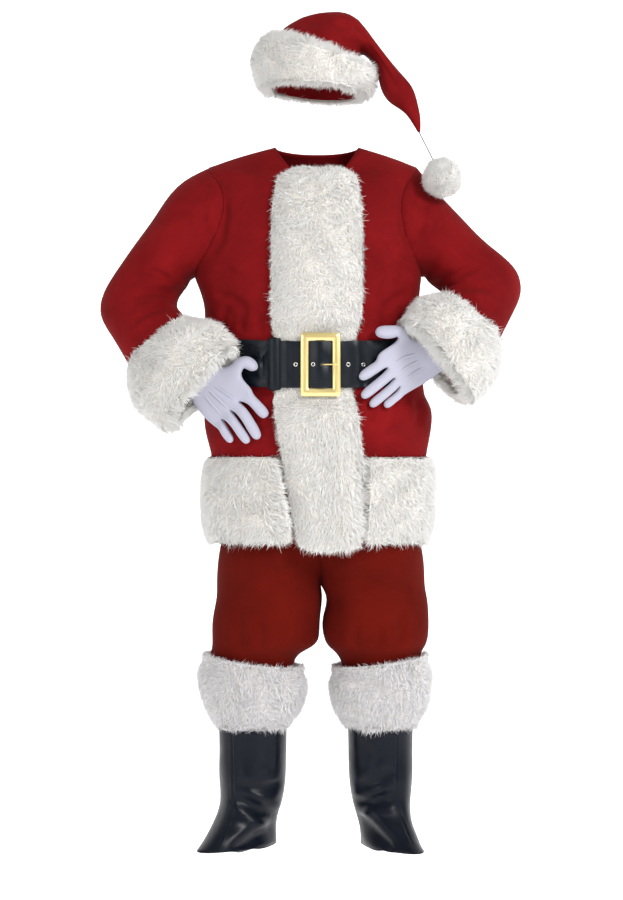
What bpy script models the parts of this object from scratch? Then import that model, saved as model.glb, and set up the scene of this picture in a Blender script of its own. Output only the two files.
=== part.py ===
"""Santa suit, worn: fur-trimmed jacket, belt, trousers, boot tops, gloves and a floppy hat.

Every cloth piece is a closed wall of real thickness between an outer and an inner grid of points. The
grids come from sections: the jacket's body from TORSO, each sleeve from a table of its outer and inner
edge, each trouser leg, boot top and hat from rings. Fur pieces are walls as thick as their pile, made from
the points of the cloth they are sewn to, moved out.

Units are metres. X runs to the wearer's left, Y to the back, Z up. Heights in the tables are measured from
the ground that the wearer stands on; the empty "shoulders" carries every piece down to the origin, which
lies on the shoulder line.
"""

import math
from collections import namedtuple

import bmesh
import bpy
from mathutils import Vector

# ---------------------------------------------------------------- driving sizes
SHOULDER_HEIGHT = 1.500  # from the ground to the origin
SEAM_GAP = 0.0003  # between pieces that are sewn edge to edge, and under what lies on a panel
ARMHOLE_GAP = 0.0005
PLUSH = 0.0022  # red plush with its short nap
VINYL = 0.0014  # boot tops
STRETCH_KNIT = 0.0012  # gloves
FUR_CLEAR = 0.0006  # from the cloth to the fur's backing
BELT_THICK = 0.0030
BELT_WIDE = 0.097
BELT_MIDDLE = 1.080  # height of the belt's centre line in front
BELT_RISE = 0.014  # how much higher it lies at the sides
RIGHT, LEFT = -1, 1  # the wearer's sides, as the sign of X

Finish = namedtuple("Finish", "name red green blue rough metal")
PLUSH_RED = Finish("plush_red", 0.36, 0.012, 0.016, 0.90, 0.0)
FUR_WHITE = Finish("fur_white", 0.86, 0.84, 0.79, 0.95, 0.0)
BLACK_VINYL = Finish("black_vinyl", 0.014, 0.015, 0.018, 0.35, 0.0)
BUCKLE_GOLD = Finish("buckle_gold", 0.83, 0.62, 0.22, 0.28, 1.0)
GLOVE_WHITE = Finish("glove_white", 0.80, 0.79, 0.86, 0.80, 0.0)
THREAD_GREY = Finish("thread_grey", 0.62, 0.61, 0.58, 0.70, 0.0)


# ---------------------------------------------------------------- scene and objects
def clear_scene():
    for old in list(bpy.data.objects):
        bpy.data.objects.remove(old)


def make_collection(name):
    made = bpy.data.collections.new(name)
    bpy.context.scene.collection.children.link(made)
    return made


def make_material(finish):
    material = bpy.data.materials.new(finish.name)
    material.use_nodes = True
    shader = material.node_tree.nodes["Principled BSDF"]
    shader.inputs["Base Color"].default_value = (finish.red, finish.green, finish.blue, 1.0)
    shader.inputs["Roughness"].default_value = finish.rough
    shader.inputs["Metallic"].default_value = finish.metal
    return material


clear_scene()
SUIT = make_collection("santa_suit")
CUTTERS = make_collection("cutters")
SHOULDERS = bpy.data.objects.new("shoulders", None)
SUIT.objects.link(SHOULDERS)
SHOULDERS.location = (0.0, 0.0, -SHOULDER_HEIGHT)
MATERIALS = {
    finish: make_material(finish)
    for finish in (PLUSH_RED, FUR_WHITE, BLACK_VINYL, BUCKLE_GOLD, GLOVE_WHITE, THREAD_GREY)
}


def add_object(name, data, finish):
    made = bpy.data.objects.new(name, data)
    made.data.materials.append(MATERIALS[finish])
    SUIT.objects.link(made)
    made.parent = SHOULDERS
    return made


def add_cutter(name, mesh):
    made = bpy.data.objects.new(name, mesh)
    CUTTERS.objects.link(made)
    made.parent = SHOULDERS
    made.hide_render = True
    made.display_type = "WIRE"
    return made


def mesh_of(name, bm):
    """A mesh from bm, with its faces turned outwards and shaded smooth."""
    bmesh.ops.recalc_face_normals(bm, faces=bm.faces)
    mesh = bpy.data.meshes.new(name)
    bm.to_mesh(mesh)
    bm.free()
    mesh.shade_smooth()
    mesh.set_sharp_from_angle(angle=math.radians(50))
    return mesh


def wall(name, outer, inner, finish, ring=False):
    """A closed solid between two grids of points with the same rows and columns.

    Every quad is cut along the same diagonal, so a piece made from another's points keeps its distance.
    ring joins the last column to the first.
    """
    rows, columns = len(outer), len(outer[0])
    spans = columns if ring else columns - 1
    bm = bmesh.new()
    face_side = [[bm.verts.new(point) for point in row] for row in outer]
    back_side = [[bm.verts.new(point) for point in row] for row in inner]
    for i in range(rows - 1):
        for j in range(spans):
            k = (j + 1) % columns
            for side in (face_side, back_side):
                bm.faces.new((side[i][j], side[i][k], side[i + 1][k]))
                bm.faces.new((side[i][j], side[i + 1][k], side[i + 1][j]))
    for i in (0, rows - 1):
        for j in range(spans):
            k = (j + 1) % columns
            bm.faces.new((face_side[i][j], face_side[i][k], back_side[i][k], back_side[i][j]))
    if not ring:
        for j in (0, columns - 1):
            for i in range(rows - 1):
                bm.faces.new((face_side[i][j], face_side[i + 1][j], back_side[i + 1][j], back_side[i][j]))
    return add_object(name, mesh_of(name, bm), finish)


def rod_mesh(name, path, radius, sides):
    """A closed rod along points that all lie at one height."""
    bm = bmesh.new()
    rings = []
    for k, spot in enumerate(path):
        run = (path[min(k + 1, len(path) - 1)] - path[max(k - 1, 0)]).normalized()
        up = Vector((0, 0, 1)) if abs(run.z) < 0.9 else Vector((1, 0, 0))
        flat = run.cross(up).normalized()
        turns = [2 * math.pi * j / sides for j in range(sides)]
        rings.append([bm.verts.new(spot + (flat * math.cos(t) + up * math.sin(t)) * radius) for t in turns])
    for low, high in zip(rings, rings[1:]):
        for j in range(sides):
            k = (j + 1) % sides
            bm.faces.new((low[j], low[k], high[k], high[j]))
    bm.faces.new(rings[0])
    bm.faces.new(rings[-1])
    return mesh_of(name, bm)


def moved(points, normals, distance):
    """A grid of points moved along its normals. distance is one number, or a function of row and column."""
    return [
        [
            point + normal * (distance(i, j) if callable(distance) else distance)
            for j, (point, normal) in enumerate(zip(point_row, normal_row))
        ]
        for i, (point_row, normal_row) in enumerate(zip(points, normals))
    ]


def ring_normals(rings):
    """Outward normals of a tube of rings, each ring a closed list of points."""
    count = len(rings[0])
    made = []
    for i, ring in enumerate(rings):
        middle = sum(ring, Vector()) / count
        before, after = rings[max(i - 1, 0)], rings[min(i + 1, len(rings) - 1)]
        row = []
        for j, point in enumerate(ring):
            around = ring[(j + 1) % count] - ring[j - 1]
            normal = around.cross(after[j] - before[j]).normalized()
            row.append(normal if normal.dot(point - middle) > 0 else -normal)
        made.append(row)
    return made


def curve_through(table, place):
    """The columns of a table at a fractional row, along a smooth curve through its rows."""
    last = len(table) - 1
    i = min(int(place), last - 1)
    t = place - i
    before, start, end, after = (table[min(max(k, 0), last)] for k in (i - 1, i, i + 1, i + 2))
    return type(start)(
        *(
            0.5 * (2 * b + (c - a) * t + (2 * a - 5 * b + 4 * c - d) * t**2 + (3 * b - a - 3 * c + d) * t**3)
            for a, b, c, d in zip(before, start, end, after)
        )
    )


def signed_power(value, power):
    return math.copysign(abs(value) ** power, value)


def fur_round(name, rings, normals, pile, lip, turn_in, at_end):
    """Fur on the outside of a tube. pile is a function of ring and column.

    At one end, the last ring or the first, the fur goes past the cloth by lip and turns in over its edge.
    """
    backing = moved(rings, normals, FUR_CLEAR)
    tips = moved(backing, normals, pile)
    edge, before = (-1, -2) if at_end else (0, 1)
    push = [(a - b).normalized() * lip for a, b in zip(rings[edge], rings[before])]
    lip_in = [p + q - n * turn_in for p, q, n in zip(backing[edge], push, normals[edge])]
    lip_out = [p + q for p, q in zip(tips[edge], push)]
    place = len(rings) if at_end else 0
    backing.insert(place, lip_in)
    tips.insert(place, lip_out)
    return wall(name, tips, backing, FUR_WHITE, ring=True)


# ---------------------------------------------------------------- jacket body
# One row for each section, hem first. right, left, front and back are half sizes from the middle line;
# h_front, h_side and h_back are the heights of the section there; opening_x is where the fronts meet and
# fur_half is half the width of the front fur's backing.
Torso = namedtuple("Torso", "right left front back h_front h_side h_back opening_x fur_half")
TORSO = (
    Torso(0.222, 0.222, 0.150, 0.145, 0.712, 0.712, 0.712, 0.023, 0.058),  # hem
    Torso(0.225, 0.226, 0.151, 0.146, 0.800, 0.800, 0.800, 0.016, 0.066),
    Torso(0.228, 0.232, 0.153, 0.147, 0.888, 0.888, 0.888, 0.008, 0.073),  # top of the hem fur
    Torso(0.240, 0.240, 0.158, 0.150, 0.940, 0.940, 0.940, 0.001, 0.074),
    Torso(0.243, 0.244, 0.160, 0.150, 0.985, 0.985, 0.985, -0.006, 0.074),
    Torso(0.231, 0.226, 0.150, 0.142, 1.026, 1.040, 1.030, -0.009, 0.073),  # the belt holds it flat from here
    Torso(0.231, 0.226, 0.150, 0.142, 1.138, 1.152, 1.142, -0.007, 0.077),  # to here
    Torso(0.243, 0.222, 0.158, 0.147, 1.182, 1.182, 1.182, -0.004, 0.080),
    Torso(0.246, 0.217, 0.160, 0.149, 1.222, 1.222, 1.222, -0.003, 0.082),
    Torso(0.264, 0.222, 0.160, 0.149, 1.270, 1.272, 1.270, -0.003, 0.082),  # underarm
    Torso(0.262, 0.223, 0.156, 0.147, 1.340, 1.342, 1.340, -0.003, 0.082),
    Torso(0.252, 0.221, 0.144, 0.141, 1.404, 1.412, 1.412, -0.003, 0.080),
    Torso(0.243, 0.217, 0.124, 0.130, 1.450, 1.468, 1.466, -0.002, 0.076),
    Torso(0.235, 0.213, 0.100, 0.110, 1.474, 1.510, 1.508, -0.001, 0.070),  # tips of the shoulders
    Torso(0.165, 0.151, 0.086, 0.094, 1.478, 1.533, 1.530, -0.001, 0.062),
    Torso(0.092, 0.087, 0.074, 0.078, 1.474, 1.553, 1.548, -0.001, 0.054),  # neckline
)
UNDERARM, SHOULDER_TIP, NECKLINE = 9, 13, 15
BELT_LOW, BELT_HIGH = 5, 6
HEM_FUR_TOP = 2
BODY_ROWS = (0, 0.5, 1, 1.5, 2, 3, 4, 4.6, 5, 6, 6.4, 7, 8)
ARMHOLE_ROWS = (9.4, 9.9, 10.4, 10.9, 11.5, 12.1, 12.6)
YOKE_ROWS = (14, NECKLINE)
TORSO_ROWS = (*BODY_ROWS, UNDERARM, *ARMHOLE_ROWS, SHOULDER_TIP, *YOKE_ROWS)
SQUARENESS = 2.3  # 2 is an ellipse
ARMHOLE_SPREAD_FRONT = math.radians(40)  # how far the armhole reaches round from the side
ARMHOLE_SPREAD_BACK = math.radians(36)
ARMHOLE_FULLNESS = 0.55  # 1 is a sine; less is a fuller curve
BODY_ROUND = 0.19  # a mean radius of the body, to turn a drape's angle into a width
LEAST_DEEP = 0.06  # the seam gap's angle is worked out for at least this radius
FRONT_SIDE_COLUMNS, BACK_COLUMNS = 7, 16
FRONT_FUR_COLUMNS = (0.0, 1 / 3, 2 / 3, 1.0)  # shares of fur_half

# The largest drapes of the body: where each starts and ends (degrees round from the wearer's left side,
# height), its width and its height; a negative height is a trough.
Drape = namedtuple("Drape", "angle_top h_top angle_low h_low wide high")
BODY_DRAPES = (
    Drape(-158, 1.300, -146, 1.150, 0.030, 0.007),
    Drape(-24, 1.300, -34, 1.150, 0.030, 0.007),
    Drape(-140, 1.230, -132, 1.145, 0.022, -0.004),
    Drape(-44, 1.230, -50, 1.145, 0.022, -0.004),
    Drape(-166, 1.010, -162, 0.880, 0.026, 0.005),
    Drape(-18, 1.010, -14, 0.880, 0.026, 0.005),
    Drape(62, 1.400, 50, 1.150, 0.034, 0.007),
    Drape(118, 1.400, 130, 1.150, 0.034, 0.007),
    Drape(90, 1.250, 90, 1.145, 0.030, 0.006),
    Drape(60, 1.010, 56, 0.880, 0.030, 0.006),
    Drape(120, 1.010, 124, 0.880, 0.030, 0.006),
)


def drape_height(angle, height, drapes, girth):
    """How far the cloth stands out at an angle and a height, from a table of drapes."""
    total = 0.0
    for drape in drapes:
        along = (drape.h_top - height) / (drape.h_top - drape.h_low)
        if not 0.0 < along < 1.0:
            continue
        line = drape.angle_top + (drape.angle_low - drape.angle_top) * along
        away = (math.degrees(angle) - line + 180) % 360 - 180
        across = math.radians(away) * girth / drape.wide
        total += drape.high * math.sin(math.pi * along) * math.exp(-(across**2))
    return total


def torso_plain(row, angle):
    """A point of the jacket's plain outside. angle is 0 at the wearer's left and -90 degrees in front."""
    ring = curve_through(TORSO, row)
    c, s = math.cos(angle), math.sin(angle)
    end = ring.h_front if s < 0 else ring.h_back
    return Vector(
        (
            (ring.left if c > 0 else ring.right) * signed_power(c, 2 / SQUARENESS),
            (ring.front if s < 0 else ring.back) * signed_power(s, 2 / SQUARENESS),
            ring.h_side * c * c + end * s * s,
        )
    )


def torso_normal(row, angle):
    step_row, step_angle = 0.05, 0.02
    low, high = max(row - step_row, 0), min(row + step_row, NECKLINE)
    up = torso_plain(high, angle) - torso_plain(low, angle)
    around = torso_plain(row, angle + step_angle) - torso_plain(row, angle - step_angle)
    return around.cross(up).normalized()


def torso_point(row, angle):
    plain = torso_plain(row, angle)
    return plain + torso_normal(row, angle) * drape_height(angle, plain.z, BODY_DRAPES, BODY_ROUND)


def angle_of_x(row, x):
    """The angle of the point on the front that lies at x."""
    ring = curve_through(TORSO, row)
    reach = min(abs(x) / (ring.left if x > 0 else ring.right), 1.0)
    turn = math.acos(reach ** (SQUARENESS / 2))
    return -turn if x > 0 else turn - math.pi


def outer_edge(row, back):
    """How far round from the side a panel's outer edge lies: nought on the side seam, more at the armhole."""
    if not UNDERARM < row < SHOULDER_TIP:
        return 0.0
    along = (row - UNDERARM) / (SHOULDER_TIP - UNDERARM)
    spread = ARMHOLE_SPREAD_BACK if back else ARMHOLE_SPREAD_FRONT
    return spread * math.sin(math.pi * along) ** ARMHOLE_FULLNESS


def edge_angle(row, side, back):
    """The angle of a panel's outer edge."""
    turn = outer_edge(row, back) * (1 if back else -1)
    return turn if side == LEFT else math.pi * (1 if back else -1) - turn


def seam_turn(row):
    """Half the seam gap as an angle at this row."""
    ring = curve_through(TORSO, row)
    return SEAM_GAP / 2 / max(ring.front, LEAST_DEEP)


def front_angles(row, side):
    """Angles of a front panel's columns, in the order in which the angle grows."""
    ring = curve_through(TORSO, row)
    fur = [angle_of_x(row, ring.opening_x + side * share * ring.fur_half) for share in FRONT_FUR_COLUMNS]
    fur[0] += side * seam_turn(row)
    end = edge_angle(row, side, back=False) - side * seam_turn(row)
    steps = FRONT_SIDE_COLUMNS
    made = fur + [fur[-1] + (end - fur[-1]) * k / steps for k in range(1, steps + 1)]
    return made if side == LEFT else made[::-1]


def back_angles(row):
    start = edge_angle(row, LEFT, back=True) + seam_turn(row)
    end = edge_angle(row, RIGHT, back=True) - seam_turn(row)
    return [start + (end - start) * k / BACK_COLUMNS for k in range(BACK_COLUMNS + 1)]


# ---------------------------------------------------------------- sleeves
# One row for each section from the armhole down: the outer and the inner edge of the sleeve as seen from the
# front, the depth of its middle, its half depth, and how far the arm points forward there (degrees).
Sleeve = namedtuple("Sleeve", "out_x out_h in_x in_h y half_deep pitch")
SLEEVES = {
    RIGHT: (
        Sleeve(-0.302, 1.470, -0.274, 1.268, 0.000, 0.100, 0),
        Sleeve(-0.350, 1.403, -0.279, 1.258, 0.002, 0.092, 0),
        Sleeve(-0.388, 1.352, -0.286, 1.248, 0.004, 0.086, 0),
        Sleeve(-0.427, 1.292, -0.293, 1.236, 0.004, 0.084, 4),
        Sleeve(-0.460, 1.238, -0.298, 1.222, -0.002, 0.085, 8),  # elbow
        Sleeve(-0.462, 1.190, -0.297, 1.208, -0.016, 0.085, 12),
        Sleeve(-0.436, 1.142, -0.290, 1.196, -0.040, 0.081, 14),
        Sleeve(-0.394, 1.070, -0.274, 1.172, -0.072, 0.076, 13),  # top of the cuff
        Sleeve(-0.372, 1.030, -0.248, 1.154, -0.100, 0.072, 12),
        Sleeve(-0.344, 0.994, -0.214, 1.134, -0.130, 0.064, 11),
        Sleeve(-0.312, 0.966, -0.186, 1.110, -0.152, 0.057, 10),
    ),
    LEFT: (
        Sleeve(0.262, 1.449, 0.228, 1.276, 0.000, 0.094, 0),
        Sleeve(0.308, 1.402, 0.233, 1.270, 0.002, 0.090, 0),
        Sleeve(0.351, 1.357, 0.240, 1.262, 0.004, 0.086, 0),
        Sleeve(0.392, 1.320, 0.248, 1.254, 0.004, 0.084, 4),
        Sleeve(0.427, 1.284, 0.256, 1.247, -0.002, 0.085, 8),  # elbow
        Sleeve(0.431, 1.240, 0.262, 1.242, -0.016, 0.085, 12),
        Sleeve(0.414, 1.194, 0.264, 1.238, -0.042, 0.081, 14),
        Sleeve(0.377, 1.124, 0.262, 1.224, -0.072, 0.076, 13),  # top of the cuff
        Sleeve(0.357, 1.084, 0.242, 1.206, -0.102, 0.072, 12),
        Sleeve(0.334, 1.050, 0.217, 1.185, -0.132, 0.064, 12),
        Sleeve(0.308, 1.020, 0.197, 1.163, -0.154, 0.057, 10),
    ),
}
SLEEVE_FOLDS = (  # section (counted from the armhole), share of the way round, depth
    (2.0, 0.10, -0.006),
    (3.0, 0.16, 0.006),
    (4.0, 0.08, -0.009),
    (5.0, 0.18, 0.006),
    (5.0, 0.92, -0.006),
    (6.0, 0.06, -0.008),
    (4.0, 0.40, 0.005),
    (6.0, 0.55, 0.006),
    (7.0, 0.34, -0.004),
)
SLEEVE_FOLD_LONG = 0.8  # a fold's half length, in sections
SLEEVE_FOLD_WIDE = 0.07  # its half width, as a share of the way round
MITRE_LIMIT = 0.45  # a slanting edge's wall is at most 1 / MITRE_LIMIT times as deep as the cloth
CUFF_START = 8  # the sleeve ring where the fur begins, the armhole being ring 0


def fold_height(folds, number, share, long, wide):
    """How far the folds of a table lift a ring's point, at a share of the way round it."""
    total = 0.0
    for at, spot, depth in folds:
        away = (share - spot + 0.5) % 1 - 0.5
        total += depth * math.exp(-(((number - at) / long) ** 2) - (away / wide) ** 2)
    return total


def armhole(side):
    """The armhole's points and their normals, from the underarm up the front and down the back."""
    front = [(row, edge_angle(row, side, back=False)) for row in (UNDERARM, *ARMHOLE_ROWS, SHOULDER_TIP)]
    back = [(row, edge_angle(row, side, back=True)) for row in reversed(ARMHOLE_ROWS)]
    places = front + back
    return [torso_point(*place) for place in places], [torso_normal(*place) for place in places]


def sleeve_ring(section, number, side, count):
    """The points of one sleeve section, from the underarm side round by the front."""
    outer = Vector((section.out_x, section.y, section.out_h))
    inner = Vector((section.in_x, section.y, section.in_h))
    middle, across = (outer + inner) / 2, (outer - inner) / 2
    forward = Vector((0, -1, 0))
    along = forward.cross(across).normalized() * -side
    pitch = math.radians(section.pitch)
    front = (forward * math.cos(pitch) - along * math.sin(pitch)) * section.half_deep
    ring = []
    for j in range(count):
        turn = 2 * math.pi * j / count
        lift = fold_height(SLEEVE_FOLDS, number, j / count, SLEEVE_FOLD_LONG, SLEEVE_FOLD_WIDE)
        spread = 1 + lift / across.length
        ring.append(middle - across * math.cos(turn) * spread + front * math.sin(turn) * spread)
    return ring


def sleeve_grid(side):
    """Rings of the sleeve's outside with their normals. The first is the armhole, a seam gap away from it."""
    edge, torso_side = armhole(side)
    rings = [edge]
    for number, section in enumerate(SLEEVES[side], start=1):
        rings.append(sleeve_ring(section, number, side, len(edge)))
    normals = ring_normals(rings)
    mitre = [(a + b).normalized() for a, b in zip(torso_side, normals[0])]
    for j, normal in enumerate(mitre):
        run = edge[(j + 1) % len(edge)] - edge[j - 1]
        away = run.cross(normal).normalized()
        if away.dot(rings[1][j] - edge[j]) < 0:
            away = -away
        rings[0][j] = edge[j] + away * ARMHOLE_GAP
    normals[0] = mitre
    return rings, normals, torso_side


def mitre_depth(normal, face_normal):
    """How much longer the wall is along a slanting edge."""
    return 1 / max(normal.dot(face_normal), MITRE_LIMIT)


def build_sleeve(name, side):
    rings, normals, torso_side = sleeve_grid(side)
    depths = [[PLUSH] * len(rings[0]) for _ in rings]
    depths[0] = [PLUSH * mitre_depth(n, t) for n, t in zip(normals[0], torso_side)]
    inner = moved(rings, normals, lambda i, j: -depths[i][j])
    wall(name, rings, inner, PLUSH_RED, ring=True)
    return rings, normals


def armhole_mitres(side):
    """The wall direction shared by body and sleeve at each armhole point: {(row, back): (normal, depth)}."""
    rings, normals, torso_side = sleeve_grid(side)
    rows = [(UNDERARM, None)] + [(row, False) for row in ARMHOLE_ROWS]
    rows += [(SHOULDER_TIP, None)] + [(row, True) for row in reversed(ARMHOLE_ROWS)]
    return {
        key: (normal, PLUSH * mitre_depth(normal, face))
        for key, normal, face in zip(rows, normals[0], torso_side)
    }


MITRES = {side: armhole_mitres(side) for side in (RIGHT, LEFT)}


def panel_point(row, angle, side=None, back=False):
    """Outer and inner point of a body panel. On its outer edge side is given, and the wall is mitred."""
    outer = torso_point(row, angle)
    normal, depth = torso_normal(row, angle), PLUSH
    if side is not None:
        shared = MITRES[side].get((row, back)) or MITRES[side].get((row, None))
        if shared:
            normal, depth = shared
    return outer, outer - normal * depth


def build_front(name, side):
    outer, inner = [], []
    for row in TORSO_ROWS:
        angles = front_angles(row, side)
        edge = len(angles) - 1 if side == LEFT else 0
        pairs = [panel_point(row, a, side if j == edge else None) for j, a in enumerate(angles)]
        outer.append([pair[0] for pair in pairs])
        inner.append([pair[1] for pair in pairs])
    return wall(name, outer, inner, PLUSH_RED)


def build_back(name):
    outer, inner = [], []
    for row in TORSO_ROWS:
        angles = back_angles(row)
        sides = {0: LEFT, len(angles) - 1: RIGHT}
        pairs = [panel_point(row, a, sides.get(j), back=True) for j, a in enumerate(angles)]
        outer.append([pair[0] for pair in pairs])
        inner.append([pair[1] for pair in pairs])
    return wall(name, outer, inner, PLUSH_RED)


build_front("jacket_front_right", RIGHT)
build_front("jacket_front_left", LEFT)
build_back("jacket_back")
SLEEVE_GRIDS = {
    RIGHT: build_sleeve("jacket_sleeve_right", RIGHT),
    LEFT: build_sleeve("jacket_sleeve_left", LEFT),
}

# ---------------------------------------------------------------- front fur and hem fur
FRONT_FUR_SPREAD = 1.24  # how much wider the pile is than its backing
UNDER_BELT_SPREAD = 1.12  # and where the belt presses it
PRESSED_ROWS = (4.3, 6.6)  # the pile is even between these torso rows
FRONT_FUR_ARCH = (0.30, 0.86, 1.0, 1.0, 1.0, 0.86, 0.30)  # pile height across the width
# Height of the pile by torso row: the belt presses it flat.
FrontPile = namedtuple("FrontPile", "row pile")
FRONT_PILE = (
    FrontPile(0, 0.030),
    FrontPile(3, 0.030),
    FrontPile(4, 0.026),
    FrontPile(4.6, 0.012),
    FrontPile(BELT_LOW, 0.008),
    FrontPile(BELT_HIGH, 0.008),
    FrontPile(6.4, 0.012),
    FrontPile(7, 0.028),
    FrontPile(9, 0.032),
    FrontPile(12, 0.028),
    FrontPile(NECKLINE, 0.020),
)
HEM_FUR_GAP = 0.0009  # from the front fur
HEM_DROP = 0.004  # the hem fur hangs this far past the cloth
HEM_PILE = (0.014, 0.026, 0.028, 0.026, 0.012)  # from the hem row to the band's top row
HEM_ROUND = 0.15  # the hem's radius in front, to turn that gap into an angle
FRONT_TAIL = -0.020  # the front fur ends this far below the cloth
FRONT_TAIL_EDGE = 0.55  # this share of it at the edges
FUR_LUMP = 0.0022


def step_table(table, at):
    """A value from a two-column table, in straight lines between its rows."""
    for (low, first), (high, second) in zip(table, table[1:]):
        if at <= high:
            return first + (second - first) * (at - low) / (high - low)
    return table[-1][1]


def lump(a, b):
    """A soft unevenness of the pile, the same wherever a and b are the same."""
    return FUR_LUMP * (math.sin(2.9 * a + 1.3 * b) + 0.6 * math.sin(5.3 * a - 2.1 * b + 1.0))


def front_fur_angles(row, scale=1.0):
    ring = curve_through(TORSO, row)
    half = [share * ring.fur_half * scale for share in FRONT_FUR_COLUMNS]
    offsets = [-x for x in reversed(half[1:])] + half
    return [angle_of_x(row, ring.opening_x + x) for x in offsets]


def build_front_fur(name):
    outer, inner = [], []
    for i, row in enumerate(TORSO_ROWS):
        pile = step_table(FRONT_PILE, row)
        backing = [torso_point(row, a) + torso_normal(row, a) * FUR_CLEAR for a in front_fur_angles(row)]
        spread = UNDER_BELT_SPREAD if BELT_LOW <= row <= BELT_HIGH else FRONT_FUR_SPREAD
        if row > SHOULDER_TIP:
            spread = 1.0
        tips = []
        for j, angle in enumerate(front_fur_angles(row, spread)):
            uneven = 0 if PRESSED_ROWS[0] < row < PRESSED_ROWS[1] else lump(i, j)
            height = FUR_CLEAR + pile * FRONT_FUR_ARCH[j] + uneven
            tips.append(torso_point(row, angle) + torso_normal(row, angle) * height)
        if row == 0:
            for j, (back_point, tip) in enumerate(zip(backing, tips)):
                middle_share = math.sin(math.pi * j / (len(tips) - 1))
                low = FRONT_TAIL * (FRONT_TAIL_EDGE + (1 - FRONT_TAIL_EDGE) * middle_share)
                back_point.z += low
                tip.z += low
        inner.append(backing)
        outer.append(tips)
    wall(name, outer, inner, FUR_WHITE)
    return outer


def build_hem_fur(name):
    rows = TORSO_ROWS[: len(HEM_PILE)]
    columns = []
    for row in rows:
        edge = front_fur_angles(row, FRONT_FUR_SPREAD)
        left = front_angles(row, LEFT)[len(FRONT_FUR_COLUMNS) :]
        right = front_angles(row, RIGHT)[: -len(FRONT_FUR_COLUMNS)]
        start, end = edge[-1] + HEM_FUR_GAP / HEM_ROUND, edge[0] - HEM_FUR_GAP / HEM_ROUND
        ring = [start, *left, *back_angles(row)[1:-1], *[a + 2 * math.pi for a in right], end + 2 * math.pi]
        columns.append(ring)
    outer, inner = [], []
    for i, (row, ring) in enumerate(zip(rows, columns)):
        backing = [torso_point(row, a) + torso_normal(row, a) * FUR_CLEAR for a in ring]
        tips = [
            torso_point(row, a) + torso_normal(row, a) * (FUR_CLEAR + HEM_PILE[i] + lump(1.7 * i, 0.9 * j))
            for j, a in enumerate(ring)
        ]
        if i == 0:
            for point in backing + tips:
                point.z -= HEM_DROP
        inner.append(backing)
        outer.append(tips)
    wall(name, outer, inner, FUR_WHITE)


FRONT_FUR = build_front_fur("jacket_fur_front")
build_hem_fur("jacket_fur_hem")

# ---------------------------------------------------------------- sleeve cuffs
CUFF_PILE = (0.010, 0.028, 0.034, 0.026)  # height of the pile at each sleeve ring inside the cuff
CUFF_TO_BODY = 0.013  # the cuff's fur is pressed down to stay this far from the body
CUFF_LIP = 0.014  # the fur reaches this far past the sleeve's edge
CUFF_TURN_IN = 0.004  # and turns in by this much


def beyond_body(point):
    """About how far a point lies outside the jacket's body, its drapes and the front fur left out."""
    rows = range(BELT_LOW - 2, SHOULDER_TIP)
    row = min(rows, key=lambda k: abs(TORSO[k].h_side - point.z))
    ring = TORSO[row]
    along_x = abs(point.x) / (ring.left if point.x > 0 else ring.right)
    along_y = abs(point.y) / (ring.front if point.y < 0 else ring.back)
    reach = (along_x**SQUARENESS + along_y**SQUARENESS) ** (1 / SQUARENESS)
    return (1 - 1 / reach) * Vector((point.x, point.y)).length


def pile_that_clears(point, normal, wanted):
    """The pile height at a cuff point: all that is wanted, or what the body leaves room for."""
    for tenth in range(10, 1, -1):
        pile = wanted * tenth / 10
        if beyond_body(point + normal * pile) > CUFF_TO_BODY:
            return pile
    return wanted / 10


def build_cuff(name, side):
    rings, normals = SLEEVE_GRIDS[side]
    rings, normals = rings[CUFF_START:], normals[CUFF_START:]

    def pile(i, j):
        return pile_that_clears(rings[i][j], normals[i][j], CUFF_PILE[i] + lump(1.3 * i, j))

    fur_round(name, rings, normals, pile, CUFF_LIP, CUFF_TURN_IN, at_end=True)


build_cuff("jacket_fur_cuff_right", RIGHT)
build_cuff("jacket_fur_cuff_left", LEFT)

# ---------------------------------------------------------------- trousers
# One row for each section of a leg, hem first: its middle, half width and half depth. Above the crotch the
# two legs mirror each other about CROTCH_X, and what would pass that plane is left out.
Leg = namedtuple("Leg", "x y half_wide half_deep h")
CROTCH_X = 0.006
HIPS = (
    Leg(0.110, 0.000, 0.1100, 0.114, 0.612),  # crotch
    Leg(0.104, 0.000, 0.1160, 0.120, 0.650),
    Leg(0.087, 0.000, 0.1288, 0.126, 0.698),
    Leg(0.040, 0.000, 0.1640, 0.130, 0.760),
    Leg(0.002, 0.000, 0.2010, 0.132, 0.860),
    Leg(0.000, 0.000, 0.1960, 0.128, 0.970),
    Leg(0.000, 0.000, 0.1820, 0.120, 1.070),  # waist
)
SHINS = {
    RIGHT: (
        Leg(-0.138, 0.004, 0.0660, 0.066, 0.362),
        Leg(-0.141, 0.004, 0.0820, 0.082, 0.412),
        Leg(-0.143, 0.004, 0.0900, 0.090, 0.440),
        Leg(-0.136, 0.004, 0.0950, 0.094, 0.464),
        Leg(-0.120, 0.001, 0.1080, 0.103, 0.481),
        Leg(-0.112, 0.000, 0.1140, 0.109, 0.502),
        Leg(-0.110, 0.000, 0.1140, 0.111, 0.540),
        Leg(-0.103, 0.000, 0.1120, 0.112, 0.582),
    ),
    LEFT: (
        Leg(0.133, 0.004, 0.0630, 0.063, 0.362),
        Leg(0.136, 0.004, 0.0780, 0.078, 0.412),
        Leg(0.138, 0.004, 0.0860, 0.086, 0.440),
        Leg(0.131, 0.004, 0.0900, 0.090, 0.464),
        Leg(0.126, 0.001, 0.1030, 0.101, 0.481),
        Leg(0.124, 0.000, 0.1110, 0.108, 0.502),
        Leg(0.122, 0.000, 0.1130, 0.110, 0.540),
        Leg(0.125, 0.000, 0.1060, 0.112, 0.582),
    ),
}
LEG_COLUMNS = 18
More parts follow.
